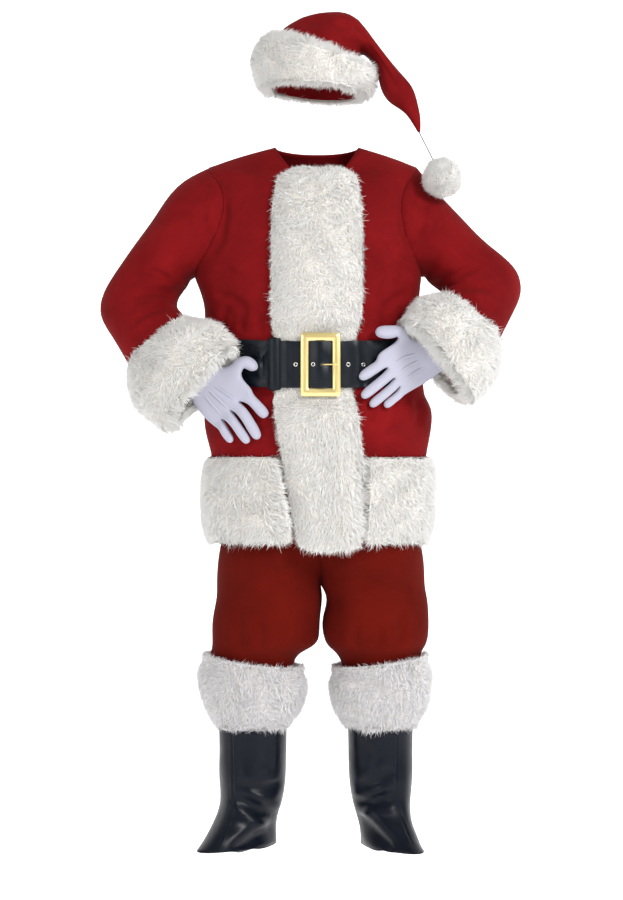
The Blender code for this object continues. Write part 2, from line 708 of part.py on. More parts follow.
LEG_DRAPES = (  # degrees round from the inner leg, heights, width and height
    Drape(70, 0.700, 55, 0.490, 0.022, 0.006),
    Drape(115, 0.640, 128, 0.480, 0.024, -0.006),
    Drape(175, 0.680, 165, 0.480, 0.026, 0.006),
    Drape(235, 0.640, 222, 0.480, 0.024, -0.006),
    Drape(290, 0.700, 305, 0.490, 0.022, 0.006),
)
SEAM_SLANT = 0.5  # the seam's wall is at most 1 / SEAM_SLANT times as deep as the cloth is thick
WAISTBAND_TALL = 0.036
WAISTBAND_THICK = 0.0035
WAISTBAND_COLUMNS = 36


def leg_sections(side):
    upper = [part._replace(x=CROTCH_X + side * part.x) for part in HIPS]
    return [*SHINS[side], *upper]


def leg_grid(side):
    outer = []
    for section in leg_sections(side):
        seam_x = CROTCH_X + side * SEAM_GAP / 2
        reach = (seam_x - section.x) / (-side * section.half_wide)
        start = math.acos(min(max(reach, -1.0), 1.0)) if section.h > HIPS[0].h else 0.0
        start = max(start, SEAM_GAP / 2 / section.half_deep)
        row = []
        for j in range(LEG_COLUMNS + 1):
            turn = start + (2 * math.pi - 2 * start) * j / LEG_COLUMNS
            rise = drape_height(turn, section.h, LEG_DRAPES, section.half_wide)
            if j in (0, LEG_COLUMNS):
                rise = 0.0
            row.append(
                Vector(
                    (
                        section.x - side * (section.half_wide + rise) * math.cos(turn),
                        section.y - (section.half_deep + rise) * math.sin(turn),
                        section.h,
                    )
                )
            )
        outer.append(row)
    return outer


def sheet_normals(grid, middles):
    """Outward normals of an open sheet; middles holds a point inside it for each row."""
    rows, columns = len(grid), len(grid[0])
    made = []
    for i in range(rows):
        row = []
        for j in range(columns):
            up = grid[min(i + 1, rows - 1)][j] - grid[max(i - 1, 0)][j]
            around = grid[i][min(j + 1, columns - 1)] - grid[i][max(j - 1, 0)]
            normal = around.cross(up).normalized()
            row.append(normal if normal.dot(grid[i][j] - middles[i]) > 0 else -normal)
        made.append(row)
    return made


def build_leg(name, side):
    outer = leg_grid(side)
    middles = [Vector((section.x, section.y, section.h)) for section in leg_sections(side)]
    normals = sheet_normals(outer, middles)
    depths = [[PLUSH] * len(row) for row in outer]
    for section, row, depth in zip(leg_sections(side), normals, depths):
        for j in (0, -1):
            if section.h <= HIPS[0].h:  # the inner leg seam's wall points at the middle of the leg
                row[j] = Vector((row[j].x, 0.0, row[j].z)).normalized()
                continue
            # The walls of the front and back seams stay in the seams' own plane.
            depth[j] = PLUSH / max(abs(row[j].y), SEAM_SLANT)
            row[j] = Vector((0.0, row[j].y, row[j].z)).normalized()
    wall(name, outer, moved(outer, normals, lambda i, j: -depths[i][j]), PLUSH_RED)


def build_waistband(name):
    top = HIPS[-1]
    rows = []
    for grow in (0.0, -WAISTBAND_THICK):
        rows.append(
            [
                [
                    Vector(
                        (
                            CROTCH_X + (top.half_wide + grow) * math.cos(turn),
                            (top.half_deep + grow) * math.sin(turn),
                            top.h + SEAM_GAP + rise,
                        )
                    )
                    for turn in (2 * math.pi * j / WAISTBAND_COLUMNS for j in range(WAISTBAND_COLUMNS))
                ]
                for rise in (0.0, WAISTBAND_TALL)
            ]
        )
    wall(name, rows[0], rows[1], PLUSH_RED, ring=True)


build_leg("trousers_leg_right", RIGHT)
build_leg("trousers_leg_left", LEFT)
build_waistband("trousers_waistband")

# ---------------------------------------------------------------- boot tops
# One row for each section, top first: height, how far its middle lies ahead of the ankle, half width across
# the foot, half length along it, and how much higher than the middle are its front and its outer side.
Boot = namedtuple("Boot", "h ahead half_wide half_long front_up outer_up")
BOOT = (
    Boot(0.444, 0.000, 0.1010, 0.100, 0.000, 0.014),
    Boot(0.424, 0.000, 0.0960, 0.095, 0.000, 0.012),
    Boot(0.390, 0.000, 0.0850, 0.085, 0.000, 0.008),
    Boot(0.350, 0.000, 0.0765, 0.077, 0.000, 0.004),
    Boot(0.312, 0.000, 0.0730, 0.074, 0.000, 0.000),  # lower edge of the fur
    Boot(0.255, 0.000, 0.0715, 0.073, 0.000, 0.000),
    Boot(0.200, 0.002, 0.0700, 0.074, 0.000, 0.000),
    Boot(0.152, 0.006, 0.0630, 0.075, -0.004, 0.000),
    Boot(0.116, 0.022, 0.0550, 0.084, -0.006, 0.000),
    Boot(0.086, 0.038, 0.0490, 0.100, -0.004, 0.000),
    Boot(0.058, 0.052, 0.0470, 0.118, 0.004, 0.000),  # lower edge, over the shoe
)
BootPlace = namedtuple("BootPlace", "x y toe_out scale")
BOOT_PLACES = {
    RIGHT: BootPlace(-0.140, 0.004, math.radians(39), 1.0),
    LEFT: BootPlace(0.134, 0.004, math.radians(27), 0.96),
}
BOOT_COLUMNS = 18
BOOT_FOLDS = (  # section, share of the way round from the toe side, depth
    (6.2, 0.04, 0.005),
    (7.4, 0.92, -0.006),
    (7.6, 0.14, -0.005),
    (8.4, 0.86, 0.005),
    (6.8, 0.50, -0.005),
    (7.8, 0.60, 0.004),
)
BOOT_FOLD_LONG = 0.8  # a fold's half length, in sections
BOOT_FOLD_WIDE = 0.06  # its half width, as a share of the way round
BOOT_FUR_LIP = 0.010  # the fur reaches this far past the boot top's upper edge
BOOT_TURN_IN = -0.001
BOOT_PILE = (0.006, 0.022, 0.030, 0.028, 0.008)


def boot_grid(side):
    place = BOOT_PLACES[side]
    fore = Vector((side * math.sin(place.toe_out), -math.cos(place.toe_out), 0))
    across = Vector((-fore.y, fore.x, 0))
    rings = []
    for number, section in enumerate(BOOT):
        ring = []
        for j in range(BOOT_COLUMNS):
            share = j / BOOT_COLUMNS
            turn = 2 * math.pi * share
            lift = fold_height(BOOT_FOLDS, number, share, BOOT_FOLD_LONG, BOOT_FOLD_WIDE)
            long = section.half_long * place.scale + lift
            wide = section.half_wide * place.scale + lift
            middle = Vector((place.x, place.y, section.h)) + fore * section.ahead
            point = middle + fore * long * math.cos(turn) + across * wide * math.sin(turn)
            outward = side * (point.x - middle.x) / section.half_wide
            point.z += section.front_up * math.cos(turn) + section.outer_up * outward
            ring.append(point)
        rings.append(ring)
    return rings


def build_boot_top(name, fur_name, side):
    rings = boot_grid(side)
    normals = ring_normals(rings)
    wall(name, rings, moved(rings, normals, -VINYL), BLACK_VINYL, ring=True)
    covered = len(BOOT_PILE)

    def pile(i, j):
        return BOOT_PILE[i] + lump(1.9 * i, 1.1 * j + side)

    fur_round(fur_name, rings[:covered], normals[:covered], pile, BOOT_FUR_LIP, BOOT_TURN_IN, at_end=False)


build_boot_top("boot_top_right", "boot_top_fur_right", RIGHT)
build_boot_top("boot_top_left", "boot_top_fur_left", LEFT)

# ---------------------------------------------------------------- hat
# One row for each section, brim first: its outer and its inner edge as seen from the front, the depth of its
# middle and its half depth. The hat falls over to the wearer's left.
Hat = namedtuple("Hat", "out_x out_h in_x in_h y half_deep")
HAT = (
    Hat(-0.1066, 1.6836, 0.0906, 1.6664, 0.002, 0.113),
    Hat(-0.1045, 1.7320, 0.0900, 1.6970, 0.003, 0.111),
    Hat(-0.0970, 1.7710, 0.0875, 1.7160, 0.004, 0.105),
    Hat(-0.0790, 1.8030, 0.0850, 1.7290, 0.006, 0.097),
    Hat(-0.0360, 1.8310, 0.0850, 1.7440, 0.010, 0.088),
    Hat(0.0180, 1.8450, 0.0880, 1.7530, 0.014, 0.078),
    Hat(0.0660, 1.8420, 0.0950, 1.7580, 0.018, 0.070),
    Hat(0.1000, 1.8110, 0.1040, 1.7530, 0.020, 0.063),
    Hat(0.1260, 1.7760, 0.1170, 1.7390, 0.018, 0.058),
    Hat(0.1520, 1.7440, 0.1290, 1.7110, 0.010, 0.052),
    Hat(0.1780, 1.7130, 0.1360, 1.6800, -0.002, 0.045),
    Hat(0.2030, 1.6800, 0.1530, 1.6490, -0.016, 0.035),
    Hat(0.2130, 1.6400, 0.1790, 1.6280, -0.028, 0.025),
    Hat(0.2180, 1.6080, 0.1970, 1.6050, -0.037, 0.014),
    Hat(0.2180, 1.5800, 0.2120, 1.5800, -0.044, 0.005),
)
HAT_ROWS = (0, 0.5, 1.2, 2.0, 2.7, 3.3, 4, 5, 6, 7, 8, 9, 10, 11, 12, 13, 14)
HAT_COLUMNS = 18
HAT_WALL_SHARE = 0.5  # near the tip the wall is this share of the hat's half size
HAT_WAVE = 0.05  # how far the crown's slack cloth waves, as a share of its half size
HAT_WAVE_TWIST = 40  # how fast the waves wind round with height
BAND_PILE = (0.024, 0.036, 0.040, 0.034, 0.010)  # of the fur band, by hat row
BAND_TURN_IN = 0.004
BAND_PRESSED = 0.12  # share of the pile pressed down on the side that the hat falls over
BAND_LIP = 0.006  # the band's fur hangs this far past the hat's edge
THREAD_RADIUS = 0.0007
THREAD_CLEAR = 0.0006  # between the thread's ends and what they are sewn to
POMPOM_CENTRE = Vector((0.2618, -0.084, 1.4775))
POMPOM_CORE = 0.030
POMPOM_RADIUS = 0.045
POMPOM_CUTS = 3  # each side of the ball carries (cuts + 1) squared locks
LOCK_GAP = 0.0009  # half the gap between the roots of two locks
LOCK_LEAN = 0.0022  # how far a lock's tip leans to a side
LOCK_UNEVEN = 0.07  # share of a lock's length that varies
NO_LOCK = 0.93  # no lock grows where the way out is this close to the thread's, as a cosine


def half_up(section):
    return math.hypot(section.out_x - section.in_x, section.out_h - section.in_h) / 2


def hat_grid():
    rings = []
    for place in HAT_ROWS:
        section = curve_through(HAT, place)
        outer = Vector((section.out_x, section.y, section.out_h))
        inner = Vector((section.in_x, section.y, section.in_h))
        middle, across = (outer + inner) / 2, (outer - inner) / 2
        ring = []
        for j in range(HAT_COLUMNS):
            turn = 2 * math.pi * j / HAT_COLUMNS
            slack = min(max(place - 3, 0), 1)
            wave = 1 + HAT_WAVE * math.sin(3 * turn + section.out_h * HAT_WAVE_TWIST) * slack
            deep = Vector((0, 1, 0)) * section.half_deep * math.sin(turn)
            ring.append(middle + across * wave * math.cos(turn) + deep)
        rings.append(ring)
    return rings


def build_hat(crown_name, band_name):
    rings = hat_grid()
    normals = ring_normals(rings)
    depth = [min(PLUSH, HAT_WALL_SHARE * half_up(curve_through(HAT, place))) for place in HAT_ROWS]
    wall(crown_name, rings, moved(rings, normals, lambda i, j: -depth[i]), PLUSH_RED, ring=True)

    def pile(i, j):
        under_hat = (1 - math.cos(2 * math.pi * j / HAT_COLUMNS)) / 2  # 1 where the hat falls over the band
        return BAND_PILE[i] * (1 - BAND_PRESSED * under_hat**3) + lump(1.4 * i, 1.2 * j)

    covered = len(BAND_PILE)
    fur_round(band_name, rings[:covered], normals[:covered], pile, BAND_LIP, BAND_TURN_IN, at_end=False)


def build_pompom(name, thread_way):
    """A ball of separate tapered locks, their roots in one core. None grows where the thread comes in."""
    bm = bmesh.new()
    bmesh.ops.create_cube(bm, size=2.0)
    bmesh.ops.subdivide_edges(bm, edges=bm.edges, cuts=POMPOM_CUTS, use_grid_fill=True)
    for vert in bm.verts:
        # An even spread: the cube's grid is bent before it is blown up to a ball.
        bent = Vector([math.tan(c * math.pi / 4) for c in vert.co])
        vert.co = bent.normalized() * POMPOM_CORE
    roots = list(bm.faces)
    bmesh.ops.inset_individual(bm, faces=roots, thickness=LOCK_GAP, use_even_offset=True)
    growing = [f for f in roots if f.calc_center_median().normalized().dot(thread_way) < NO_LOCK]
    tips = bmesh.ops.poke(bm, faces=growing, center_mode="MEAN")["verts"]
    for k, tip in enumerate(tips):
        out = tip.co.normalized()
        side = out.cross(Vector((0.3, 0.5, 0.8))).normalized()
        length = POMPOM_RADIUS * (1 - LOCK_UNEVEN + LOCK_UNEVEN * math.sin(2.4 * k))
        tip.co = out * length + side * LOCK_LEAN * math.sin(1.7 * k)
    ball = add_object(name, mesh_of(name, bm), FUR_WHITE)
    ball.location = POMPOM_CENTRE


build_hat("hat_crown", "hat_fur_band")
HAT_TIP = Vector(((HAT[-1].out_x + HAT[-1].in_x) / 2, HAT[-1].y, HAT[-1].out_h))
TO_TIP = (HAT_TIP - POMPOM_CENTRE).normalized()
build_pompom("hat_pompom", TO_TIP)
THREAD_ENDS = (
    HAT_TIP + (POMPOM_CENTRE - HAT_TIP).normalized() * THREAD_CLEAR,
    POMPOM_CENTRE + TO_TIP * (POMPOM_CORE + THREAD_CLEAR),
)
add_object("hat_pompom_thread", rod_mesh("hat_pompom_thread", THREAD_ENDS, THREAD_RADIUS, 6), THREAD_GREY)

# ---------------------------------------------------------------- belt
# The strap in plan, from its sewn end to its tip. Each row is a point of the strap's middle surface: x
# across the front, how far off the jacket it lies, and the strap's thickness. It folds round the buckle's
# centre bar, runs round the wearer's right side and back, and comes through the buckle over the bar.
Strap = namedtuple("Strap", "x off thick")
BELT_ROW = BELT_LOW
BAR_X, BAR_OFF, BAR_RADIUS = 0.0046, 0.0154, 0.0020
STRAP_START = (
    Strap(-0.0120, 0.0137, 0.0014),
    Strap(-0.0070, 0.0138, 0.0014),
    Strap(-0.0015, 0.0160, 0.0014),
    Strap(0.0022, 0.0180, 0.0014),
    Strap(0.0046, 0.0185, 0.0014),
    Strap(0.0068, 0.0176, 0.0014),
    Strap(0.0077, 0.0154, 0.0014),
    Strap(0.0068, 0.0132, 0.0014),
    Strap(0.0046, 0.0123, 0.0014),
    Strap(0.0010, 0.0116, 0.0016),
    Strap(-0.0040, 0.0111, BELT_THICK),
    Strap(-0.0300, 0.0111, BELT_THICK),
    Strap(-0.0600, 0.0111, BELT_THICK),
    Strap(-0.0850, 0.0111, BELT_THICK),
    Strap(-0.1040, 0.0111, BELT_THICK),
    Strap(-0.1200, 0.0090, BELT_THICK),
    Strap(-0.1400, 0.0044, BELT_THICK),
    Strap(-0.1600, 0.0030, BELT_THICK),
)
STRAP_END = (
    Strap(0.1450, 0.0030, BELT_THICK),
    Strap(0.1200, 0.0036, BELT_THICK),
    Strap(0.1000, 0.0066, BELT_THICK),
    Strap(0.0800, 0.0108, BELT_THICK),
    Strap(0.0560, 0.0132, BELT_THICK),
    Strap(0.0420, 0.0144, BELT_THICK),
    Strap(0.0290, 0.0146, BELT_THICK),
    Strap(0.0180, 0.0176, BELT_THICK),
    Strap(0.0110, 0.0202, BELT_THICK),
    Strap(0.0046, 0.0211, BELT_THICK),
    Strap(-0.0020, 0.0204, BELT_THICK),
    Strap(-0.0085, 0.0180, BELT_THICK),
    Strap(-0.0140, 0.0158, BELT_THICK),
    Strap(-0.0200, 0.0147, BELT_THICK),
    Strap(-0.0400, 0.0147, BELT_THICK),
    Strap(-0.0650, 0.0147, BELT_THICK),
    Strap(-0.0850, 0.0147, BELT_THICK),
)
TIP_SHAPE = (  # x and share of the belt's half width along the rounded tongue
    (-0.0950, 1.00),
    (-0.1060, 0.90),
    (-0.1130, 0.70),
    (-0.1160, 0.40),
    (-0.1168, 0.14),
)
TIP_OFF = 0.0147
KEEPER_X, KEEPER_WIDE, KEEPER_THICK = -0.0892, 0.0250, 0.0015
KEEPER_OFF_LOW, KEEPER_OFF_HIGH = 0.0087, 0.0168  # the room inside, off the jacket
KEEPER_TALL = 0.107
KEEPER_BEVEL = 0.002  # cut off each of its edges
BUCKLE_WIDE, BUCKLE_TALL, BUCKLE_BAR = 0.0826, 0.1320, 0.0162
BUCKLE_BACK, BUCKLE_FACE = 0.0164, 0.0218  # off the jacket
BUCKLE_CORNER = 0.0055
INNER_CORNER_SHARE = 0.35  # the frame's inner corners are this much tighter
PRONG_RADIUS = 0.0016
PRONG_PATH = ((BAR_X, BAR_OFF), (0.0155, 0.0196), (0.0245, 0.0236), (0.0370, 0.0236))  # x, off the jacket
SLOT = (0.0052, 0.0210, 0.0032)  # low x, high x and half height of the prong's slot in the strap
SLOT_OFF, SLOT_DEEP = 0.0194, 0.020  # the slot cutter's middle off the jacket, and its depth


def belt_line(angle, off):
    """A point of the belt's centre line, off the jacket by a distance."""
    spot = torso_plain(BELT_ROW, angle) + torso_normal(BELT_ROW, angle) * off
    return Vector((spot.x, spot.y, BELT_MIDDLE + BELT_RISE * math.cos(angle) ** 2))


def belt_spot(x, off, above=0.0):
    """A point of the front at x, above the belt's centre line."""
    return belt_line(angle_of_x(BELT_ROW, x), off) + Vector((0, 0, above))


def strap_path():
    """The strap's centre line with its thickness and the share of its half width there."""
    made = [(belt_spot(part.x, part.off), part.thick, 1.0) for part in STRAP_START]
    first = angle_of_x(BELT_ROW, STRAP_START[-1].x) + 2 * math.pi
    last = angle_of_x(BELT_ROW, STRAP_END[0].x)
    seams = [*front_angles(BELT_ROW, LEFT)[:-1], *back_angles(BELT_ROW)]
    seams += [angle + 2 * math.pi for angle in front_angles(BELT_ROW, RIGHT)[1:]]
    for angle in sorted((a for a in seams if last + 0.03 < a < first - 0.03), reverse=True):
        made.append((belt_line(angle, STRAP_END[0].off), BELT_THICK, 1.0))
    made += [(belt_spot(part.x, part.off), part.thick, 1.0) for part in STRAP_END]
    made += [(belt_spot(x, TIP_OFF), BELT_THICK, share) for x, share in TIP_SHAPE]
    return made


def build_strap(name, cutter_name):
    path = strap_path()
    outer, inner = [[], []], [[], []]
    for k, (spot, thick, share) in enumerate(path):
        before, after = path[max(k - 1, 0)][0], path[min(k + 1, len(path) - 1)][0]
        run = (after - before).normalized()
        side = Vector((run.y, -run.x, 0)).normalized() * thick / 2
        for level, sign in enumerate((-1, 1)):
            height = Vector((0, 0, sign * share * BELT_WIDE / 2))
            outer[level].append(spot + side + height)
            inner[level].append(spot - side + height)
    strap = wall(name, outer, inner, BLACK_VINYL)
    low_x, high_x, half = SLOT
    bm = bmesh.new()
    bmesh.ops.create_cube(bm, size=1.0)
    bmesh.ops.scale(bm, verts=bm.verts, vec=(high_x - low_x, SLOT_DEEP, 2 * half))
    middle = belt_spot((low_x + high_x) / 2, SLOT_OFF)
    bmesh.ops.translate(bm, verts=bm.verts, vec=middle)
    cut = strap.modifiers.new("prong slot", "BOOLEAN")
    cut.object = add_cutter(cutter_name, mesh_of(cutter_name, bm))
    cut.operation = "DIFFERENCE"
    cut.solver = "EXACT"


def build_keeper(name):
    """A closed loop round both layers of the strap."""
    middle = belt_spot(KEEPER_X, 0)
    out = torso_normal(BELT_ROW, angle_of_x(BELT_ROW, KEEPER_X))
    out = Vector((out.x, out.y, 0)).normalized()
    along = Vector((-out.y, out.x, 0))
    grids = []
    for grow in (KEEPER_THICK, 0.0):
        low, high = KEEPER_OFF_LOW - grow, KEEPER_OFF_HIGH + grow
        half, wide = KEEPER_TALL / 2 - KEEPER_THICK + grow, KEEPER_WIDE / 2
        cut = KEEPER_BEVEL + grow / 2
        profile = (
            (low + cut, -half), (high - cut, -half), (high, -half + cut), (high, half - cut),
            (high - cut, half), (low + cut, half), (low, half - cut), (low, -half + cut),
        )
        grids.append(
            [
                [middle + out * off + Vector((0, 0, h)) + along * edge * wide for off, h in profile]
                for edge in (-1, 1)
            ]
        )
    wall(name, grids[0], grids[1], BLACK_VINYL, ring=True)


def rounded_rectangle(half_wide, half_tall, corner, steps):
    made = []
    for quarter, (sx, sz) in enumerate(((1, 1), (-1, 1), (-1, -1), (1, -1))):
        for k in range(steps + 1):
            turn = math.pi / 2 * (quarter + k / steps)
            made.append(
                (
                    sx * (half_wide - corner) + corner * math.cos(turn),
                    sz * (half_tall - corner) + corner * math.sin(turn),
                )
            )
    return made


def build_buckle(name):
    """A bowed rectangular frame with a centre bar and a prong."""
    profile = (  # share of the bar's width from its inner edge, share of its depth from the back
        (0.0, 0.0), (0.0, 0.55), (0.22, 1.0), (0.78, 1.0), (1.0, 0.55), (1.0, 0.0),
    )
    grid = []
    for across, deep in profile:
        grow = BUCKLE_BAR * (across - 1)
        corner = BUCKLE_CORNER * (INNER_CORNER_SHARE + (1 - INNER_CORNER_SHARE) * across)
        line = rounded_rectangle(BUCKLE_WIDE / 2 + grow, BUCKLE_TALL / 2 + grow, corner, 2)
        off = BUCKLE_BACK + (BUCKLE_FACE - BUCKLE_BACK) * deep
        grid.append([belt_spot(BAR_X, off) + Vector((x, 0, z)) for x, z in line])
    bm = bmesh.new()
    rows = [[bm.verts.new(point) for point in row] for row in grid]
    count = len(rows[0])
    for i, row in enumerate(rows):
        after = rows[(i + 1) % len(rows)]
        for j in range(count):
            k = (j + 1) % count
            bm.faces.new((row[j], row[k], after[k], after[j]))
    frame = add_object(name, mesh_of(name, bm), BUCKLE_GOLD)
    reach = (BUCKLE_TALL - BUCKLE_BAR) / 2
    bar = [belt_spot(BAR_X, BAR_OFF, sign * reach) for sign in (-1, 1)]
    prong = [belt_spot(x, off) for x, off in PRONG_PATH]
    for part_name, mesh in (
        ("buckle_bar", rod_mesh("buckle_bar", bar, BAR_RADIUS, 10)),
        ("buckle_prong", rod_mesh("buckle_prong", prong, PRONG_RADIUS, 8)),
    ):
        join = frame.modifiers.new(part_name, "BOOLEAN")
        join.object = add_cutter(part_name, mesh)
        join.operation = "UNION"
        join.solver = "EXACT"


build_strap("belt_strap", "slot_cutter")
build_keeper("belt_keeper")
build_buckle("belt_buckle")

# ---------------------------------------------------------------- gloves
# The hand's sections from the wrist to where the fingers part: the thumb's edge, the little finger's edge
# and half the thickness. Then each finger's middle line with its radius.
Palm = namedtuple("Palm", "thumb_x thumb_y thumb_h little_x little_y little_h half")
Knuckle = namedtuple("Knuckle", "x y h radius")
WEB_FORWARD = 0.003  # how far the webs reach in between the fingers
WEB_WALL = 0.001  # how much deeper the wall is there
PALM_EDGE = 0.3  # how far the hand's edges bulge, as a share of its half thickness
PALM_EDGE_THICK = 0.55  # how thick the hand is at its edges, as a share of its middle
TIP_SHARE = 0.85  # how far a finger's tip reaches past its last ring, as a share of the radius
THUMB_AT = 1  # the thumb grows between this section and the next
# Where the fingers part, as shares of the way across the hand.
FINGER_SHARES = {RIGHT: (0.0, 0.32, 0.55, 0.81, 1.0), LEFT: (0.0, 0.32, 0.59, 0.81, 1.0)}
PALMS = {
    RIGHT: (
        Palm(-0.2250, -0.1416, 1.0780, -0.2686, -0.1356, 1.0336, 0.022),
        Palm(-0.1939, -0.1426, 1.0714, -0.2586, -0.1256, 1.0087, 0.019),
        Palm(-0.1643, -0.1486, 1.0507, -0.2381, -0.1176, 0.9791, 0.016),
        Palm(-0.1443, -0.1556, 1.0292, -0.2171, -0.1176, 0.9583, 0.012),
    ),
    LEFT: (
        Palm(0.2380, -0.148, 1.1260, 0.2700, -0.144, 1.0820, 0.021),
        Palm(0.1920, -0.148, 1.1310, 0.2429, -0.130, 1.0640, 0.018),
        Palm(0.1640, -0.151, 1.1220, 0.2190, -0.126, 1.0470, 0.016),
        Palm(0.1303, -0.157, 1.1013, 0.1821, -0.132, 1.0246, 0.012),
    ),
}
FINGERS = {
    RIGHT: (
        (
            Knuckle(-0.1420, -0.1536, 1.0095, 0.0119),
            Knuckle(-0.1250, -0.1556, 0.9923, 0.0114),
            Knuckle(-0.1121, -0.1576, 0.9777, 0.0102),
        ),
        (
            Knuckle(-0.1580, -0.1496, 0.9820, 0.0117),
            Knuckle(-0.1410, -0.1526, 0.9560, 0.0114),
            Knuckle(-0.1277, -0.1546, 0.9331, 0.0102),
        ),
        (
            Knuckle(-0.1790, -0.1416, 0.9650, 0.0106),
            Knuckle(-0.1640, -0.1456, 0.9440, 0.0103),
            Knuckle(-0.1497, -0.1496, 0.9238, 0.0092),
        ),
        (
            Knuckle(-0.2010, -0.1276, 0.9525, 0.0099),
            Knuckle(-0.1950, -0.1306, 0.9415, 0.0095),
            Knuckle(-0.1838, -0.1346, 0.9250, 0.0084),
        ),
    ),
    LEFT: (
        (
            Knuckle(0.1280, -0.155, 1.0800, 0.0118),
            Knuckle(0.1122, -0.158, 1.0692, 0.0114),
            Knuckle(0.0924, -0.162, 1.0557, 0.0100),
        ),
        (
            Knuckle(0.1420, -0.152, 1.0545, 0.0112),
            Knuckle(0.1164, -0.157, 1.0335, 0.0106),
            Knuckle(0.0966, -0.160, 1.0172, 0.0095),
        ),
        (
            Knuckle(0.1560, -0.146, 1.0350, 0.0098),
            Knuckle(0.1311, -0.152, 1.0135, 0.0095),
            Knuckle(0.1133, -0.156, 0.9987, 0.0086),
        ),
        (
            Knuckle(0.1690, -0.139, 1.0190, 0.0088),
            Knuckle(0.1545, -0.144, 1.0070, 0.0084),
            Knuckle(0.1425, -0.149, 0.9970, 0.0078),
        ),
    ),
}
THUMBS = {
    RIGHT: (
        Knuckle(-0.1640, -0.1496, 1.0810, 0.0135),
        Knuckle(-0.1477, -0.1496, 1.0850, 0.0140),
        Knuckle(-0.1331, -0.1496, 1.0756, 0.0104),
    ),
    LEFT: (
        Knuckle(0.1720, -0.154, 1.1480, 0.0130),
        Knuckle(0.1500, -0.157, 1.1475, 0.0138),
        Knuckle(0.1270, -0.158, 1.1480, 0.0116),
    ),
}


def hexagon(bm, spot, radius, along, up):
    """Six points round a finger: upper pair, far side, lower pair, near side."""
    across = along.cross(up).normalized()
    up = across.cross(along).normalized()
    turns = [math.radians(degrees) for degrees in (120, 60, 0, -60, -120, 180)]
    return [bm.verts.new(spot + (across * math.cos(t) + up * math.sin(t)) * radius) for t in turns]


def grow_finger(bm, base, knuckles, up, flip):
    """A finger from the ring of points it starts at to its rounded tip."""
    rings = [base]
    spots = [sum((v.co for v in base), Vector()) / len(base)]
    spots += [Vector((k.x, k.y, k.h)) for k in knuckles]
    for i, knuckle in enumerate(knuckles, start=1):
        along = (spots[min(i + 1, len(spots) - 1)] - spots[i - 1]).normalized() * flip
        rings.append(hexagon(bm, spots[i], knuckle.radius, along, up))
    for low, high in zip(rings, rings[1:]):
        for j in range(6):
            k = (j + 1) % 6
            bm.faces.new((low[j], low[k], high[k], high[j]))
    tip_way = (spots[-1] - spots[-2]).normalized()
    tip = bm.verts.new(spots[-1] + tip_way * knuckles[-1].radius * TIP_SHARE)
    for j in range(6):
        bm.faces.new((rings[-1][j], rings[-1][(j + 1) % 6], tip))


def palm_rows(bm, side):
    """Sections of the hand from the wrist to the webs: upper points, lower points, edge points, up."""
    forward = Vector((0, -1, 0))
    rows = []
    for palm in PALMS[side]:
        thumb = Vector((palm.thumb_x, palm.thumb_y, palm.thumb_h))
        little = Vector((palm.little_x, palm.little_y, palm.little_h))
        across = (little - thumb).normalized()
        up = (forward - across * forward.dot(across)).normalized()
        upper, lower = [], []
        for share in FINGER_SHARES[side]:
            spot = thumb.lerp(little, share)
            arch = up * palm.half * (PALM_EDGE_THICK + (1 - PALM_EDGE_THICK) * math.sin(math.pi * share))
            upper.append(bm.verts.new(spot + arch))
            lower.append(bm.verts.new(spot - arch))
        edge = across * palm.half * PALM_EDGE
        rows.append((upper, lower, (bm.verts.new(thumb - edge), bm.verts.new(little + edge)), up))
    return rows


def hand(bm, side):
    """The outside of a glove. Returns the ring of points at the wrist, and the points between the fingers
    with the way from them back into the hand."""
    rows = palm_rows(bm, side)
    rings = [[*upper, ends[1], *lower[::-1], ends[0]] for upper, lower, ends, _ in rows]
    count = len(rings[0])
    for number, (ring_a, ring_b) in enumerate(zip(rings, rings[1:])):
        for j in range(count):
            if number == THUMB_AT and j >= count - 2:
                continue
            k = (j + 1) % count
            bm.faces.new((ring_a[j], ring_a[k], ring_b[k], ring_b[j]))
    upper, lower, ends, _ = rows[-1]
    forth = (upper[2].co - rows[-2][0][2].co).normalized()
    webs = [ends[0]]
    webs += [bm.verts.new((upper[i].co + lower[i].co) / 2 + forth * WEB_FORWARD) for i in (1, 2, 3)]
    webs.append(ends[1])
    for i, knuckles in enumerate(FINGERS[side]):
        base = [upper[i], upper[i + 1], webs[i + 1], lower[i + 1], lower[i], webs[i]]
        grow_finger(bm, base, knuckles, rows[-1][3], -side)
    (up_1, low_1, end_1, _), (up_2, low_2, end_2, thumb_up) = rows[THUMB_AT], rows[THUMB_AT + 1]
    base = [up_1[0], up_2[0], end_2[0], low_2[0], low_1[0], end_1[0]]
    grow_finger(bm, base, THUMBS[side], thumb_up, -side)
    between = [vert for i in (1, 2, 3) for vert in (upper[i], webs[i], lower[i])]
    return rings[0], between, -forth


def build_glove(name, side):
    """A glove: its outside, and its lining a knit's thickness inward of each point, joined at the wrist."""
    bm = bmesh.new()
    wrist, between, palmward = hand(bm, side)
    bmesh.ops.triangulate(bm, faces=bm.faces)
    bmesh.ops.recalc_face_normals(bm, faces=bm.faces)
    bm.normal_update()
    outside = list(bm.verts)
    faces = list(bm.faces)
    lining = {v: bm.verts.new(v.co - v.normal * STRETCH_KNIT) for v in outside}
    for vert in between:
        lining[vert].co += palmward * WEB_WALL
    for face in faces:
        bm.faces.new([lining[v] for v in reversed(face.verts)])
    for j, vert in enumerate(wrist):
        after = wrist[(j + 1) % len(wrist)]
        bm.faces.new((vert, after, lining[after], lining[vert]))
    add_object(name, mesh_of(name, bm), GLOVE_WHITE)


build_glove("glove_right", RIGHT)
build_glove("glove_left", LEFT)
